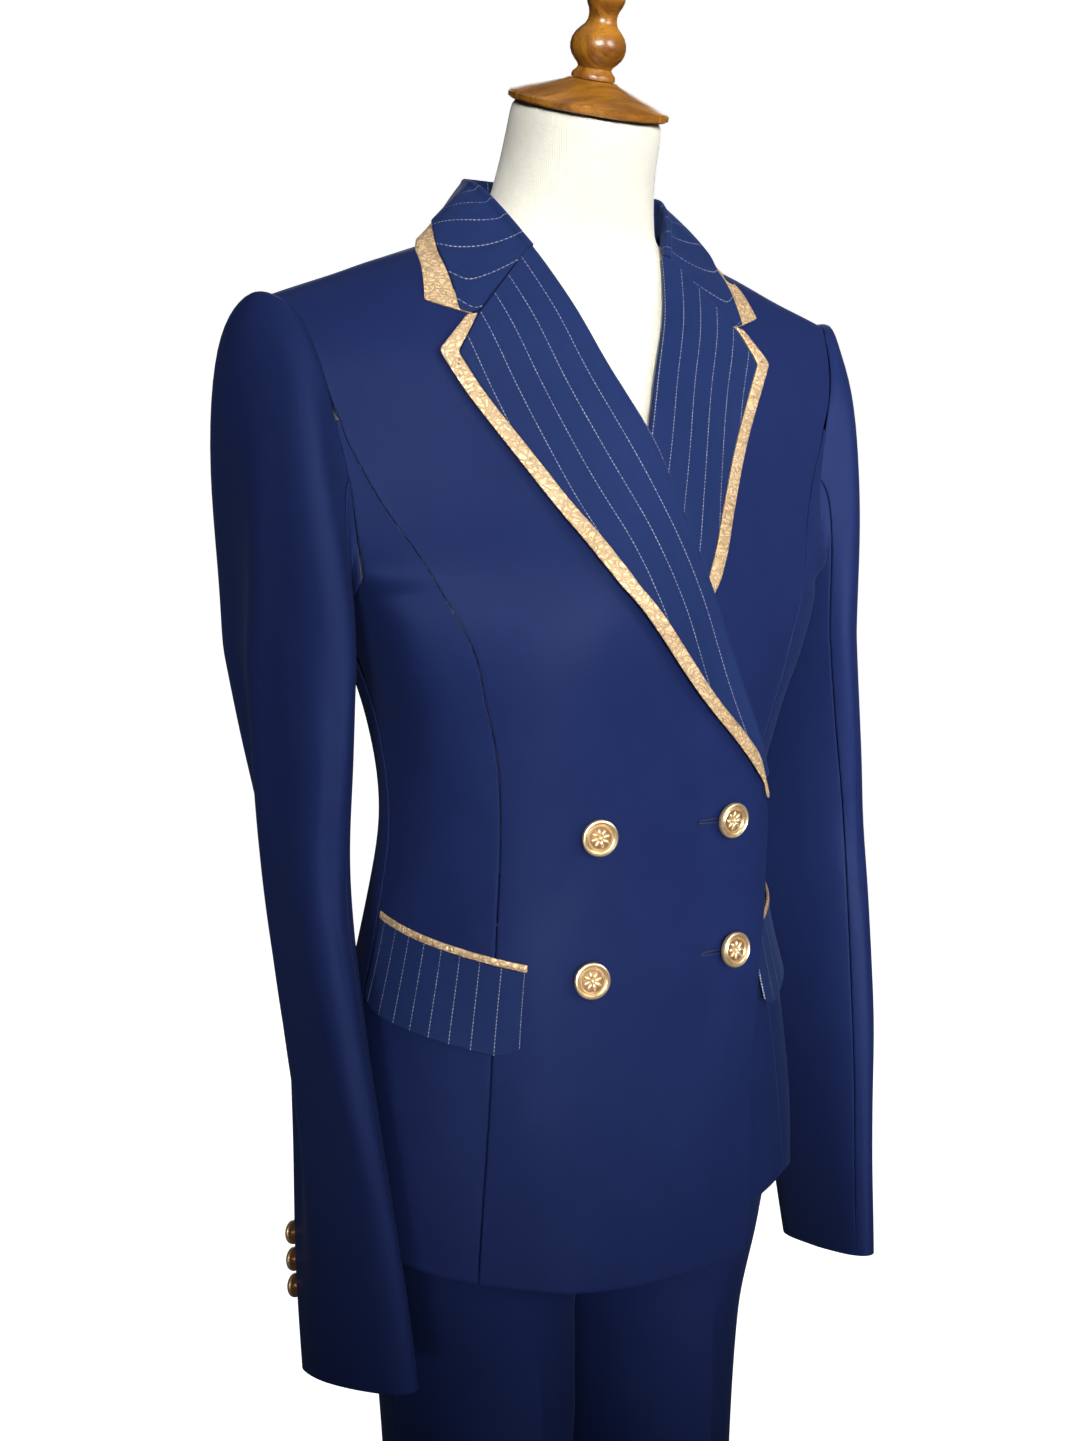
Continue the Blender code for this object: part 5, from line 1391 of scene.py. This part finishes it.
# ---- Trousers ----
# Matching wool trousers with a pressed crease down the front and back of each leg, made of four legs'
# halves and a waistband.  They hang from the waist, and break a little over where a shoe would be.
TROUSER_WALL = 0.0012
WAIST_TOP = 1.062
WAISTBAND = 0.032
WAIST_RADIUS = 0.11             # about, for its weave
CROTCH = 0.800
HIP = 0.865                     # below this height the two legs part
LEG_WIDTH = 0.20                # of a panel's flat cloth
CREASE, CREASE_HALF = 0.0065, 0.045     # how far the pressed crease stands out, and its part of a panel
FOLDS_END, FOLDS_FADE = 0.70, 0.08      # crease and folds fade out over this height
TROUSER_INSET = 0.0043
TROUSER_COLUMNS = ("height", "x", "half_width", "y", "front", "back")
TROUSERS = (
    (0.065, 0.0680, 0.0530, 0.016, 0.0820, 0.0860),
    (0.250, 0.0660, 0.0500, 0.014, 0.0770, 0.0800),
    (0.450, 0.0640, 0.0495, 0.012, 0.0740, 0.0770),
    (0.600, 0.0630, 0.0530, 0.012, 0.0760, 0.0800),
    (0.740, 0.0645, 0.0592, 0.012, 0.0800, 0.0895),
    (0.800, 0.0682, 0.0678, 0.010, 0.0860, 0.0985),
    (0.822, 0.0500, 0.0880, 0.005, 0.0920, 0.1065),
    (0.844, 0.0220, 0.1240, 0.002, 0.1010, 0.1130),
    (0.865, 0.0000, 0.1550, 0.000, 0.1078, 0.1180),
)
# Soft folds of a leg: height and part across of its middle, half height, half width, depth.
LEG_FOLDS = (
    (0.118, 0.45, 0.013, 0.30, -0.0030),
    (0.152, 0.60, 0.014, 0.26, 0.0022),
    (0.186, 0.40, 0.016, 0.25, -0.0018),
    (0.430, 0.70, 0.030, 0.22, 0.0018),
    (0.470, 0.35, 0.026, 0.25, -0.0016),
    (0.640, 0.85, 0.030, 0.20, -0.0020),
    (0.700, 0.80, 0.024, 0.22, 0.0016),
)


def leg_panel(name, sign, front):
    """Front or back of one leg, from the side seam to the inseam and the centre seam above it."""
    facing = -1 if front else 1
    parts = [0.0, 0.010, 0.04, 0.10, 0.17, 0.24, 0.31, 0.37, 0.42, 0.455, 0.48, 0.492, 0.5, 0.508, 0.52, 0.545, 0.58,
             0.63, 0.69, 0.76, 0.83, 0.90, 0.96, 0.990, 1.0]
    top = WAIST_TOP - WAISTBAND - SEAM
    heights = [0.065, 0.0665, *(0.070 + i * 0.012 for i in range(61)), CROTCH, 0.805, 0.811, 0.817, 0.823,
               0.830, 0.837, 0.844, 0.853, HIP, 0.890, 0.920, 0.950, 0.975, 1.000, top - 0.001, top]

    def place(column, row):
        across, z = parts[column], heights[row]
        if z > HIP:
            reach = body_place(90, z)[0] - TROUSER_INSET
            start = 90 - math.degrees(SEAM / 2 / 0.1)
            turn = mix(start, math.degrees(math.asin(SEAM / 2 / reach)), across)
            point = body((turn if front else 180 - turn) * sign, z, -TROUSER_INSET)
            point.x = sign * max(abs(point.x), SEAM / 2)
            point.z = z
            return point
        x, half, y, deep_front, deep_back = (read(TROUSERS, TROUSER_COLUMNS, key, z) for key in TROUSER_COLUMNS[1:])
        deep = deep_front if front else deep_back
        gap = SEAM / 2 / deep
        end = -math.asin(min((x - SEAM / 2) / half, math.cos(gap)))
        angle = mix(math.pi / 2 - gap, end, across)
        below = 1 - smooth((z - FOLDS_END) / FOLDS_FADE)
        out = CREASE * below * math.exp(-abs(across - 0.5) / CREASE_HALF)
        for height, middle, tall, wide, depth in LEG_FOLDS:
            out += depth * below * math.exp(-((z - height) / tall) ** 2 - ((across - middle) / wide) ** 2)
        out -= dip(column, len(parts) - 1) * below
        normal = Vector((math.sin(angle) * deep, facing * math.cos(angle) * half, 0.0)).normalized()
        point = Vector((x + half * math.sin(angle), y + facing * deep * math.cos(angle), z)) + normal * out
        if z > CROTCH - 0.001:
            point.x = max(point.x, SEAM / 2)
        return Vector((point.x * sign, point.y, point.z))

    def measure(column, row):
        return (parts[column] * LEG_WIDTH, heights[row])

    return sew(name, place, range(len(parts)), range(len(heights)), (sign * 0.1, facing * 1.0, 0.4), measure, NAVY,
               TROUSER_WALL)


def waistband():
    """The band round the waist, under the jacket, one closed ring."""
    mesh = bmesh.new()
    bmesh.ops.create_cone(mesh, cap_ends=False, segments=96, radius1=1, radius2=1, depth=2, calc_uvs=True)
    lay_flat(mesh, lambda vertex: (math.atan2(vertex.co.x, -vertex.co.y) * WAIST_RADIUS, vertex.co.z * WAISTBAND / 2))
    for vertex in mesh.verts:
        turn = math.degrees(math.atan2(vertex.co.x, -vertex.co.y))
        height = WAIST_TOP - (WAISTBAND if vertex.co.z < 0 else 0.0)
        vertex.co = body(turn, height, -0.0036)
        vertex.co.z = height
    mesh.normal_update()
    face_out(mesh, Vector((0, -1, 1.05)))
    return finish_cloth("trouser_waistband", mesh, NAVY, 0.0018, levels=1)


for side, sign in SIDES:
    leg_panel(f"trouser_{side}_front", sign, True)
    leg_panel(f"trouser_{side}_back", sign, False)
waistband()


# ---- Dress form ----
# A limbless padded form in cream knitted jersey, drawn tight from shoulders to hips and up the neck,
# where it is tucked under a turned wooden cap.
FORM_COLUMNS = ("height", "inset")
FORM = (
    (0.865, 0.0085),
    (1.015, 0.0085),
    (1.030, 0.0060),
    (1.062, 0.0060),
    (1.085, 0.0065),
    (1.125, 0.0080),
    (1.300, 0.0080),
    (1.385, 0.0033),
)
CAP_CENTRE = (0.0, -0.023, 1.500)
CAP_TILT = math.radians(18.4)
CAP_RADIUS = 0.048
NECK_COLUMNS = ("height", "half_width", "half_depth", "y", "tilt")
NECK = (
    (1.340, 0.0760, 0.0260, 0.002, 0.0),
    (1.400, 0.0680, 0.0350, 0.001, 3.0),
    (1.425, 0.0590, 0.0390, -0.001, 6.0),
    (1.445, 0.0530, 0.0420, -0.005, 10.0),
    (1.465, 0.0480, 0.0445, -0.011, 14.0),
    (1.484, 0.0458, 0.0455, -0.0175, 18.4),
    (CAP_CENTRE[2] - SEAM, 0.0450, 0.0450, CAP_CENTRE[1] + 0.0001, 18.4),
)
FORM_BACK_INSET = 0.0015


def cream_jersey():
    """Cream cotton jersey: fine upright ribs of knitting and a little felting."""
    material, shader = new_material("cream_knit", "cream_jersey", Roughness=0.92, Sheen_Weight=0.25,
                                    Sheen_Roughness=0.6, Specular_IOR_Level=0.2)
    tree = material.node_tree
    where = value(material, "ShaderNodeTexCoord")
    axes = value(material, "ShaderNodeSeparateXYZ")
    turn = calc(material, "ARCTAN2")
    ribs = calc(material, "MULTIPLY", in_1=42.0)
    rib_wave = to_and_fro(material)
    stitches = calc(material, "MULTIPLY", in_1=900.0)
    stitch_wave = to_and_fro(material)
    knit = calc(material, "MULTIPLY_ADD", in_1=0.35)
    fuzz = noise(material, 520.0, 3.0)
    felted = calc(material, "MULTIPLY_ADD", in_1=0.9)
    cloud = place_effect(material, CLOUDING, Scale=16.0)
    dye = ramp(material, 0.30, (0.51, 0.485, 0.405, 1), 0.70, (0.60, 0.585, 0.50, 1))
    # The colour follows the knit's height: painted shade in the grooves between ribs and stitches, painted highlight
    # on their tops, and an uneven felted tone from the fuzz noise.
    knit_shade_and_fuzz = ranged(material, 0.0, 1.4, 0.84, 1.06)
    shaded = shaded_by(material)
    relief = value(material, "ShaderNodeBump", in_0=0.55, in_1=0.0006)
    wire(tree, (where, "Object", axes, 0), (axes, "Y", turn, 0), (axes, "X", turn, 1), (turn, 0, ribs, 0),
         (ribs, 0, rib_wave, 0), (axes, "Z", stitches, 0), (stitches, 0, stitch_wave, 0),
         (stitch_wave, 0, knit, 0), (rib_wave, 0, knit, 2), (where, "Object", fuzz, "Vector"),
         (fuzz, "Fac", felted, 0), (knit, 0, felted, 2), (where, "Object", cloud, "Place"),
         (cloud, "Mask", dye, 0), (felted, 0, knit_shade_and_fuzz, 0), (dye, 0, shaded, 6), (knit_shade_and_fuzz, 0, shaded, 7),
         (shaded, 2, shader, "Base Color"), (felted, 0, relief, "Height"), (relief, 0, shader, "Normal"))
    return material


def form_torso(mesh):
    """Torso of the form, a closed slab whose front and back follow the inside of the jacket."""
    levels = [HIP, 0.890, 0.920, 0.950, 0.975, 1.000, 1.015, 1.030, 1.046, 1.062, 1.085, 1.108, 1.130, 1.152, 1.175,
              1.195, *(UNDERARM + rise * (SHOULDER_TIP[1] - UNDERARM) for rise in CHEST_UP[:-1])]
    columns = 36
    grid = bmesh.ops.create_grid(mesh, x_segments=columns, y_segments=len(levels) - 1, size=0.5)
    slab = grid["verts"]
    faces = list({face for vertex in slab for face in vertex.link_faces})
    inner = bmesh.ops.extrude_face_region(mesh, geom=faces, use_keep_orig=True)
    backs = [item for item in inner["geom"] if isinstance(item, bmesh.types.BMVert)]
    for vertex in backs:
        vertex.co.z = -1.0
    for vertex in slab + backs:
        level = levels[round((vertex.co.y + 0.5) * (len(levels) - 1))]
        turn, inset = mix(-88, 88, vertex.co.x + 0.5), read(FORM, FORM_COLUMNS, "inset", level)
        if vertex.co.z < -0.5:
            turn = behind(turn)
            inset += FORM_BACK_INSET if level > 1.3 else 0.0
        point = body(turn, level, -inset - 0.0004)
        if level <= UNDERARM:
            point.z = level
        vertex.co = point


def form_neck(mesh):
    """Neck of the form: rings that tip forward, bridged into a closed stem."""
    loops = []
    heights = [mix(NECK[0][0], NECK[-1][0], i / 22) for i in range(23)]
    for height in heights:
        half_width, half_depth, y, tilt = (read(NECK, NECK_COLUMNS, name, height) for name in NECK_COLUMNS[1:])
        turn = math.radians(tilt)
        ring = []
        for i in range(72):
            angle = 2 * math.pi * i / 72
            forward = half_depth * math.cos(angle)
            ring.append(mesh.verts.new((half_width * math.sin(angle), y - forward * math.cos(turn),
                                        height - forward * math.sin(turn))))
        loops.append([mesh.edges.new(pair) for pair in zip(ring, ring[1:] + ring[:1])])
    for lower, upper in zip(loops, loops[1:]):
        bmesh.ops.bridge_loops(mesh, edges=lower + upper)
    for end in (loops[0], loops[-1]):
        bmesh.ops.contextual_create(mesh, geom=end)


def dress_form():
    """Torso and neck made one skin, then smoothed where they join."""
    mesh = bmesh.new()
    form_torso(mesh)
    form_neck(mesh)
    piece = hard_piece("dress_form_jersey", mesh, cream_jersey(), "dress_form", sharp=180)
    skin = piece.modifiers.new("one_skin", "REMESH")
    skin.mode, skin.voxel_size, skin.use_smooth_shade = "VOXEL", 0.0042, True
    ease = piece.modifiers.new("ease", "SMOOTH")
    ease.factor, ease.iterations = 0.5, 6


dress_form()


# ---- Neck cap, finial, pole and base ----
# Turned hardwood, stained honey brown and varnished: a shallow cap on the neck with a baluster finial,
# a plain pole inside the wearer's left trouser leg, and a round base.
BASE_RADIUS = 0.200
BASE_HEIGHT = 0.018
POLE_RADIUS = 0.0125
POLE_PLACE = (0.064, 0.012)
CAP_PROFILE = ((0.0, 0.0), (CAP_RADIUS - 0.001, 0.0), (CAP_RADIUS, 0.001), (CAP_RADIUS, 0.0035),
               (CAP_RADIUS - 0.0010, 0.0046), (CAP_RADIUS - 0.0030, 0.0053), (0.0380, 0.0080), (0.0300, 0.0105),
               (0.0220, 0.0133), (0.0165, 0.0152), (0.0145, 0.0165), (0.0, 0.0165))
FINIAL_PROFILE = ((0.0, 0.0168), (0.0126, 0.0168), (0.0130, 0.0172), (0.0130, 0.0190), (0.0124, 0.0202),
                  (0.0110, 0.0214), (0.0100, 0.0230), (0.0108, 0.0246), (0.0130, 0.0266), (0.0150, 0.0292),
                  (0.0162, 0.0320), (0.0165, 0.0350), (0.0161, 0.0380), (0.0146, 0.0413), (0.0120, 0.0443),
                  (0.0096, 0.0466), (0.0085, 0.0492), (0.0083, 0.0520), (0.0090, 0.0548), (0.0105, 0.0576),
                  (0.0114, 0.0604), (0.0114, 0.0628), (0.0100, 0.0648), (0.0070, 0.0656), (0.0, 0.0658))

POLE_PROFILE = ((0.0, BASE_HEIGHT + SEAM), (POLE_RADIUS - 0.001, BASE_HEIGHT + SEAM),
                (POLE_RADIUS, BASE_HEIGHT + 0.0015), (POLE_RADIUS, 0.3), (POLE_RADIUS, 0.6),
                (POLE_RADIUS, HIP - SEAM), (0.0, HIP - SEAM))
BASE_PROFILE = ((0.0, 0.0), (0.10, 0.0), (BASE_RADIUS - 0.003, 0.0), (BASE_RADIUS - 0.0008, 0.0010),
                (BASE_RADIUS, 0.003), (BASE_RADIUS, 0.010), (BASE_RADIUS - 0.0008, 0.0122),
                (BASE_RADIUS - 0.0035, 0.0146), (BASE_RADIUS - 0.010, BASE_HEIGHT - 0.0005),
                (BASE_RADIUS - 0.013, BASE_HEIGHT), (0.12, BASE_HEIGHT), (0.05, BASE_HEIGHT), (0.0, BASE_HEIGHT))


def honey_wood():
    """Varnished honey-brown hardwood: long grain, darker pores, a clear coat."""
    material, shader = new_material("honey_beech", "honey_wood", Specular_IOR_Level=0.45, Coat_Weight=0.2,
                                    Coat_Roughness=0.12)
    tree = material.node_tree
    where = value(material, "ShaderNodeTexCoord")
    stretch = value(material, "ShaderNodeMapping", in_3=(6.0, 60.0, 22.0))
    grain = value(material, "ShaderNodeTexNoise", in_2=2.4, in_3=5.0, in_8=1.2)
    pores = noise(material, 26.0, 2.0)
    cloud = place_effect(material, CLOUDING, Scale=20.0)
    both = calc(material, "MULTIPLY_ADD", in_1=0.35)
    stain = ramp(material, 0.48, (0.115, 0.036, 0.004, 1), 0.88, (0.360, 0.150, 0.014, 1))
    pore_mask = ranged(material, 0.34, 0.46, 0.62, 1.0)
    darker = shaded_by(material)
    gloss = ranged(material, 0.3, 0.7, 0.36, 0.26)
    relief = value(material, "ShaderNodeBump", in_0=0.2, in_1=0.0002)
    wire(tree, (where, "Object", stretch, 0), (stretch, 0, grain, "Vector"), (stretch, 0, pores, "Vector"),
         (where, "Object", cloud, "Place"), (cloud, "Mask", both, 0), (grain, "Fac", both, 2),
         (both, 0, stain, 0), (pores, "Fac", pore_mask, 0), (stain, 0, darker, 6), (pore_mask, 0, darker, 7),
         (darker, 2, shader, "Base Color"), (cloud, "Mask", gloss, 0), (gloss, 0, shader, "Roughness"),
         (pores, "Fac", relief, "Height"), (relief, 0, shader, "Normal"))
    return material


WOOD = honey_wood()


def turned_wood(name, profile, segments, matrix):
    """A turned piece of the stand, put in its place."""
    mesh = lathe(profile, segments)
    bmesh.ops.transform(mesh, matrix=matrix, verts=mesh.verts[:])
    hard_piece(f"{name}_wood", mesh, WOOD, name)


tipped = Matrix.Translation(CAP_CENTRE) @ Matrix.Rotation(CAP_TILT, 4, "X")
turned_wood("neck_cap", CAP_PROFILE, 96, tipped)
turned_wood("finial", FINIAL_PROFILE, 72, tipped)
turned_wood("pole", POLE_PROFILE, 48, Matrix.Translation((*POLE_PLACE, 0.0)))
turned_wood("base", BASE_PROFILE, 128, Matrix.Identity(4))


# ---- Photographer's floor, lights and camera ----
# The suit stands on a pale paper floor that sweeps up behind it.  Two softboxes light its front, a narrow
# one reaches each sleeve, and it is seen from chest height on the wearer's right.
CAMERA_TURN, CAMERA_TILT, CAMERA_ROLL = math.radians(-31.195), math.radians(7.585), math.radians(-0.182)
CAMERA_PLACE = (-0.5778, -0.9208, 1.2797)
SENSOR = 36.0
CAMERA_FOCUS = 1750.1 / 1441 * SENSOR       # from the focal length and height of the picture in pixels
PAPER_HALF, PAPER_WIDER = 9.0, 1.5
SWEEP_FROM, SWEEP_RADIUS, SWEEP_DEPTH = 4.0, 3.2, 2.0
PAPER = 0.86
PAPER_GLOW = 0.97               # how much the paper is bleached where the camera sees it
PAPER_BOUNCE = 0.12             # what the paper gives back to the suit, as if flags stood on it
ROOM_LIGHT = 0.07
# Softboxes: name, place, the point it is aimed at, width, height, power and spread in degrees.
LAMPS = (
    ("key_softbox", (-0.85, -2.1, 1.95), (-0.04, 0, 1.49), 1.0, 1.0, 2.2, 42),
    ("right_softbox", (0.75, -2.2, 1.95), (0.00, 0, 1.49), 0.9, 0.9, 3.0, 40),
    ("far_sleeve_strip", (-1.0, -2.3, 1.6), (0.26, -0.03, 1.22), 0.4, 0.9, 3.2, 18),
    ("near_sleeve_strip", (-1.6, -1.9, 1.7), (-0.32, -0.05, 1.27), 0.4, 0.8, 1.0, 16),
    ("top_softbox", (0.1, 0.3, 3.4), (0, 0, 1.1), 1.6, 1.4, 3.5, 180),
    ("back_fill", (1.7, 2.8, 2.2), (0, 0, 1.0), 2.0, 2.0, 32, 180),
)


def paper_sweep():
    """Plain floor that curves up into a wall far behind."""
    mesh = bmesh.new()
    bmesh.ops.create_grid(mesh, x_segments=8, y_segments=48, size=PAPER_HALF)
    for vertex in mesh.verts:
        x, y = vertex.co.x, vertex.co.y
        turn = max(y - SWEEP_FROM, 0.0) / SWEEP_RADIUS
        vertex.co = (x * PAPER_WIDER, min(y, SWEEP_FROM + math.sin(min(turn, math.pi / 2)) * SWEEP_DEPTH),
                     turn**2 * SWEEP_RADIUS)
    floor = put("paper_sweep", as_data("paper_sweep", mesh))
    paper, shader = new_material("pale_paper", Roughness=0.9,
                                 Specular_IOR_Level=0.1, Emission_Color=(1.0, 1.0, 1.0, 1.0))
    seen = value(paper, "ShaderNodeLightPath")
    bleached = calc(paper, "MULTIPLY", in_1=PAPER_GLOW)
    bounce = ranged(paper, 0.0, 1.0, PAPER_BOUNCE, PAPER)
    wire(paper.node_tree, (seen, "Is Camera Ray", bleached, 0), (bleached, 0, shader, "Emission Strength"),
         (seen, "Is Camera Ray", bounce, 0), (bounce, 0, shader, "Base Color"))
    floor.data.materials.append(paper)


def soft_lamp(name, place, aim, width, height, power, spread):
    """A rectangular softbox aimed at a point, with its spread in degrees."""
    lamp = bpy.data.lights.new(name, "AREA")
    lamp.shape, lamp.size, lamp.size_y, lamp.energy = "RECTANGLE", width, height, power
    lamp.spread = math.radians(spread)
    holder = put(name, lamp)
    holder.location = place
    holder.rotation_euler = (Vector(aim) - Vector(place)).to_track_quat("-Z", "Y").to_euler()


paper_sweep()
for lamp in LAMPS:
    soft_lamp(*lamp)
sky = bpy.data.worlds.new("studio")
sky.use_nodes = True
studio = sky.node_tree.nodes["Background"]
studio.inputs["Color"].default_value = (1.0, 1.0, 1.0, 1.0)
seen = value(sky, "ShaderNodeLightPath")
walls = ranged(sky, 0.0, 1.0, ROOM_LIGHT, 1.0)
wire(sky.node_tree, (seen, "Is Camera Ray", walls, 0), (walls, 0, studio, "Strength"))
bpy.context.scene.view_settings.view_transform = "Standard"
bpy.context.scene.world = sky
camera = put("camera", bpy.data.cameras.new("camera"))
camera.data.sensor_fit, camera.data.sensor_width, camera.data.sensor_height = "VERTICAL", SENSOR, SENSOR
camera.data.lens = CAMERA_FOCUS
back = Vector((math.sin(CAMERA_TURN) * math.cos(CAMERA_TILT), -math.cos(CAMERA_TURN) * math.cos(CAMERA_TILT),
               math.sin(CAMERA_TILT)))
right = Vector((math.cos(CAMERA_TURN), math.sin(CAMERA_TURN), 0.0))
up = back.cross(right)
right, up = (right * math.cos(CAMERA_ROLL) + up * math.sin(CAMERA_ROLL),
             up * math.cos(CAMERA_ROLL) - right * math.sin(CAMERA_ROLL))
camera.matrix_world = Matrix.Translation(CAMERA_PLACE) @ Matrix((right, up, back)).transposed().to_4x4()
bpy.context.scene.camera = camera
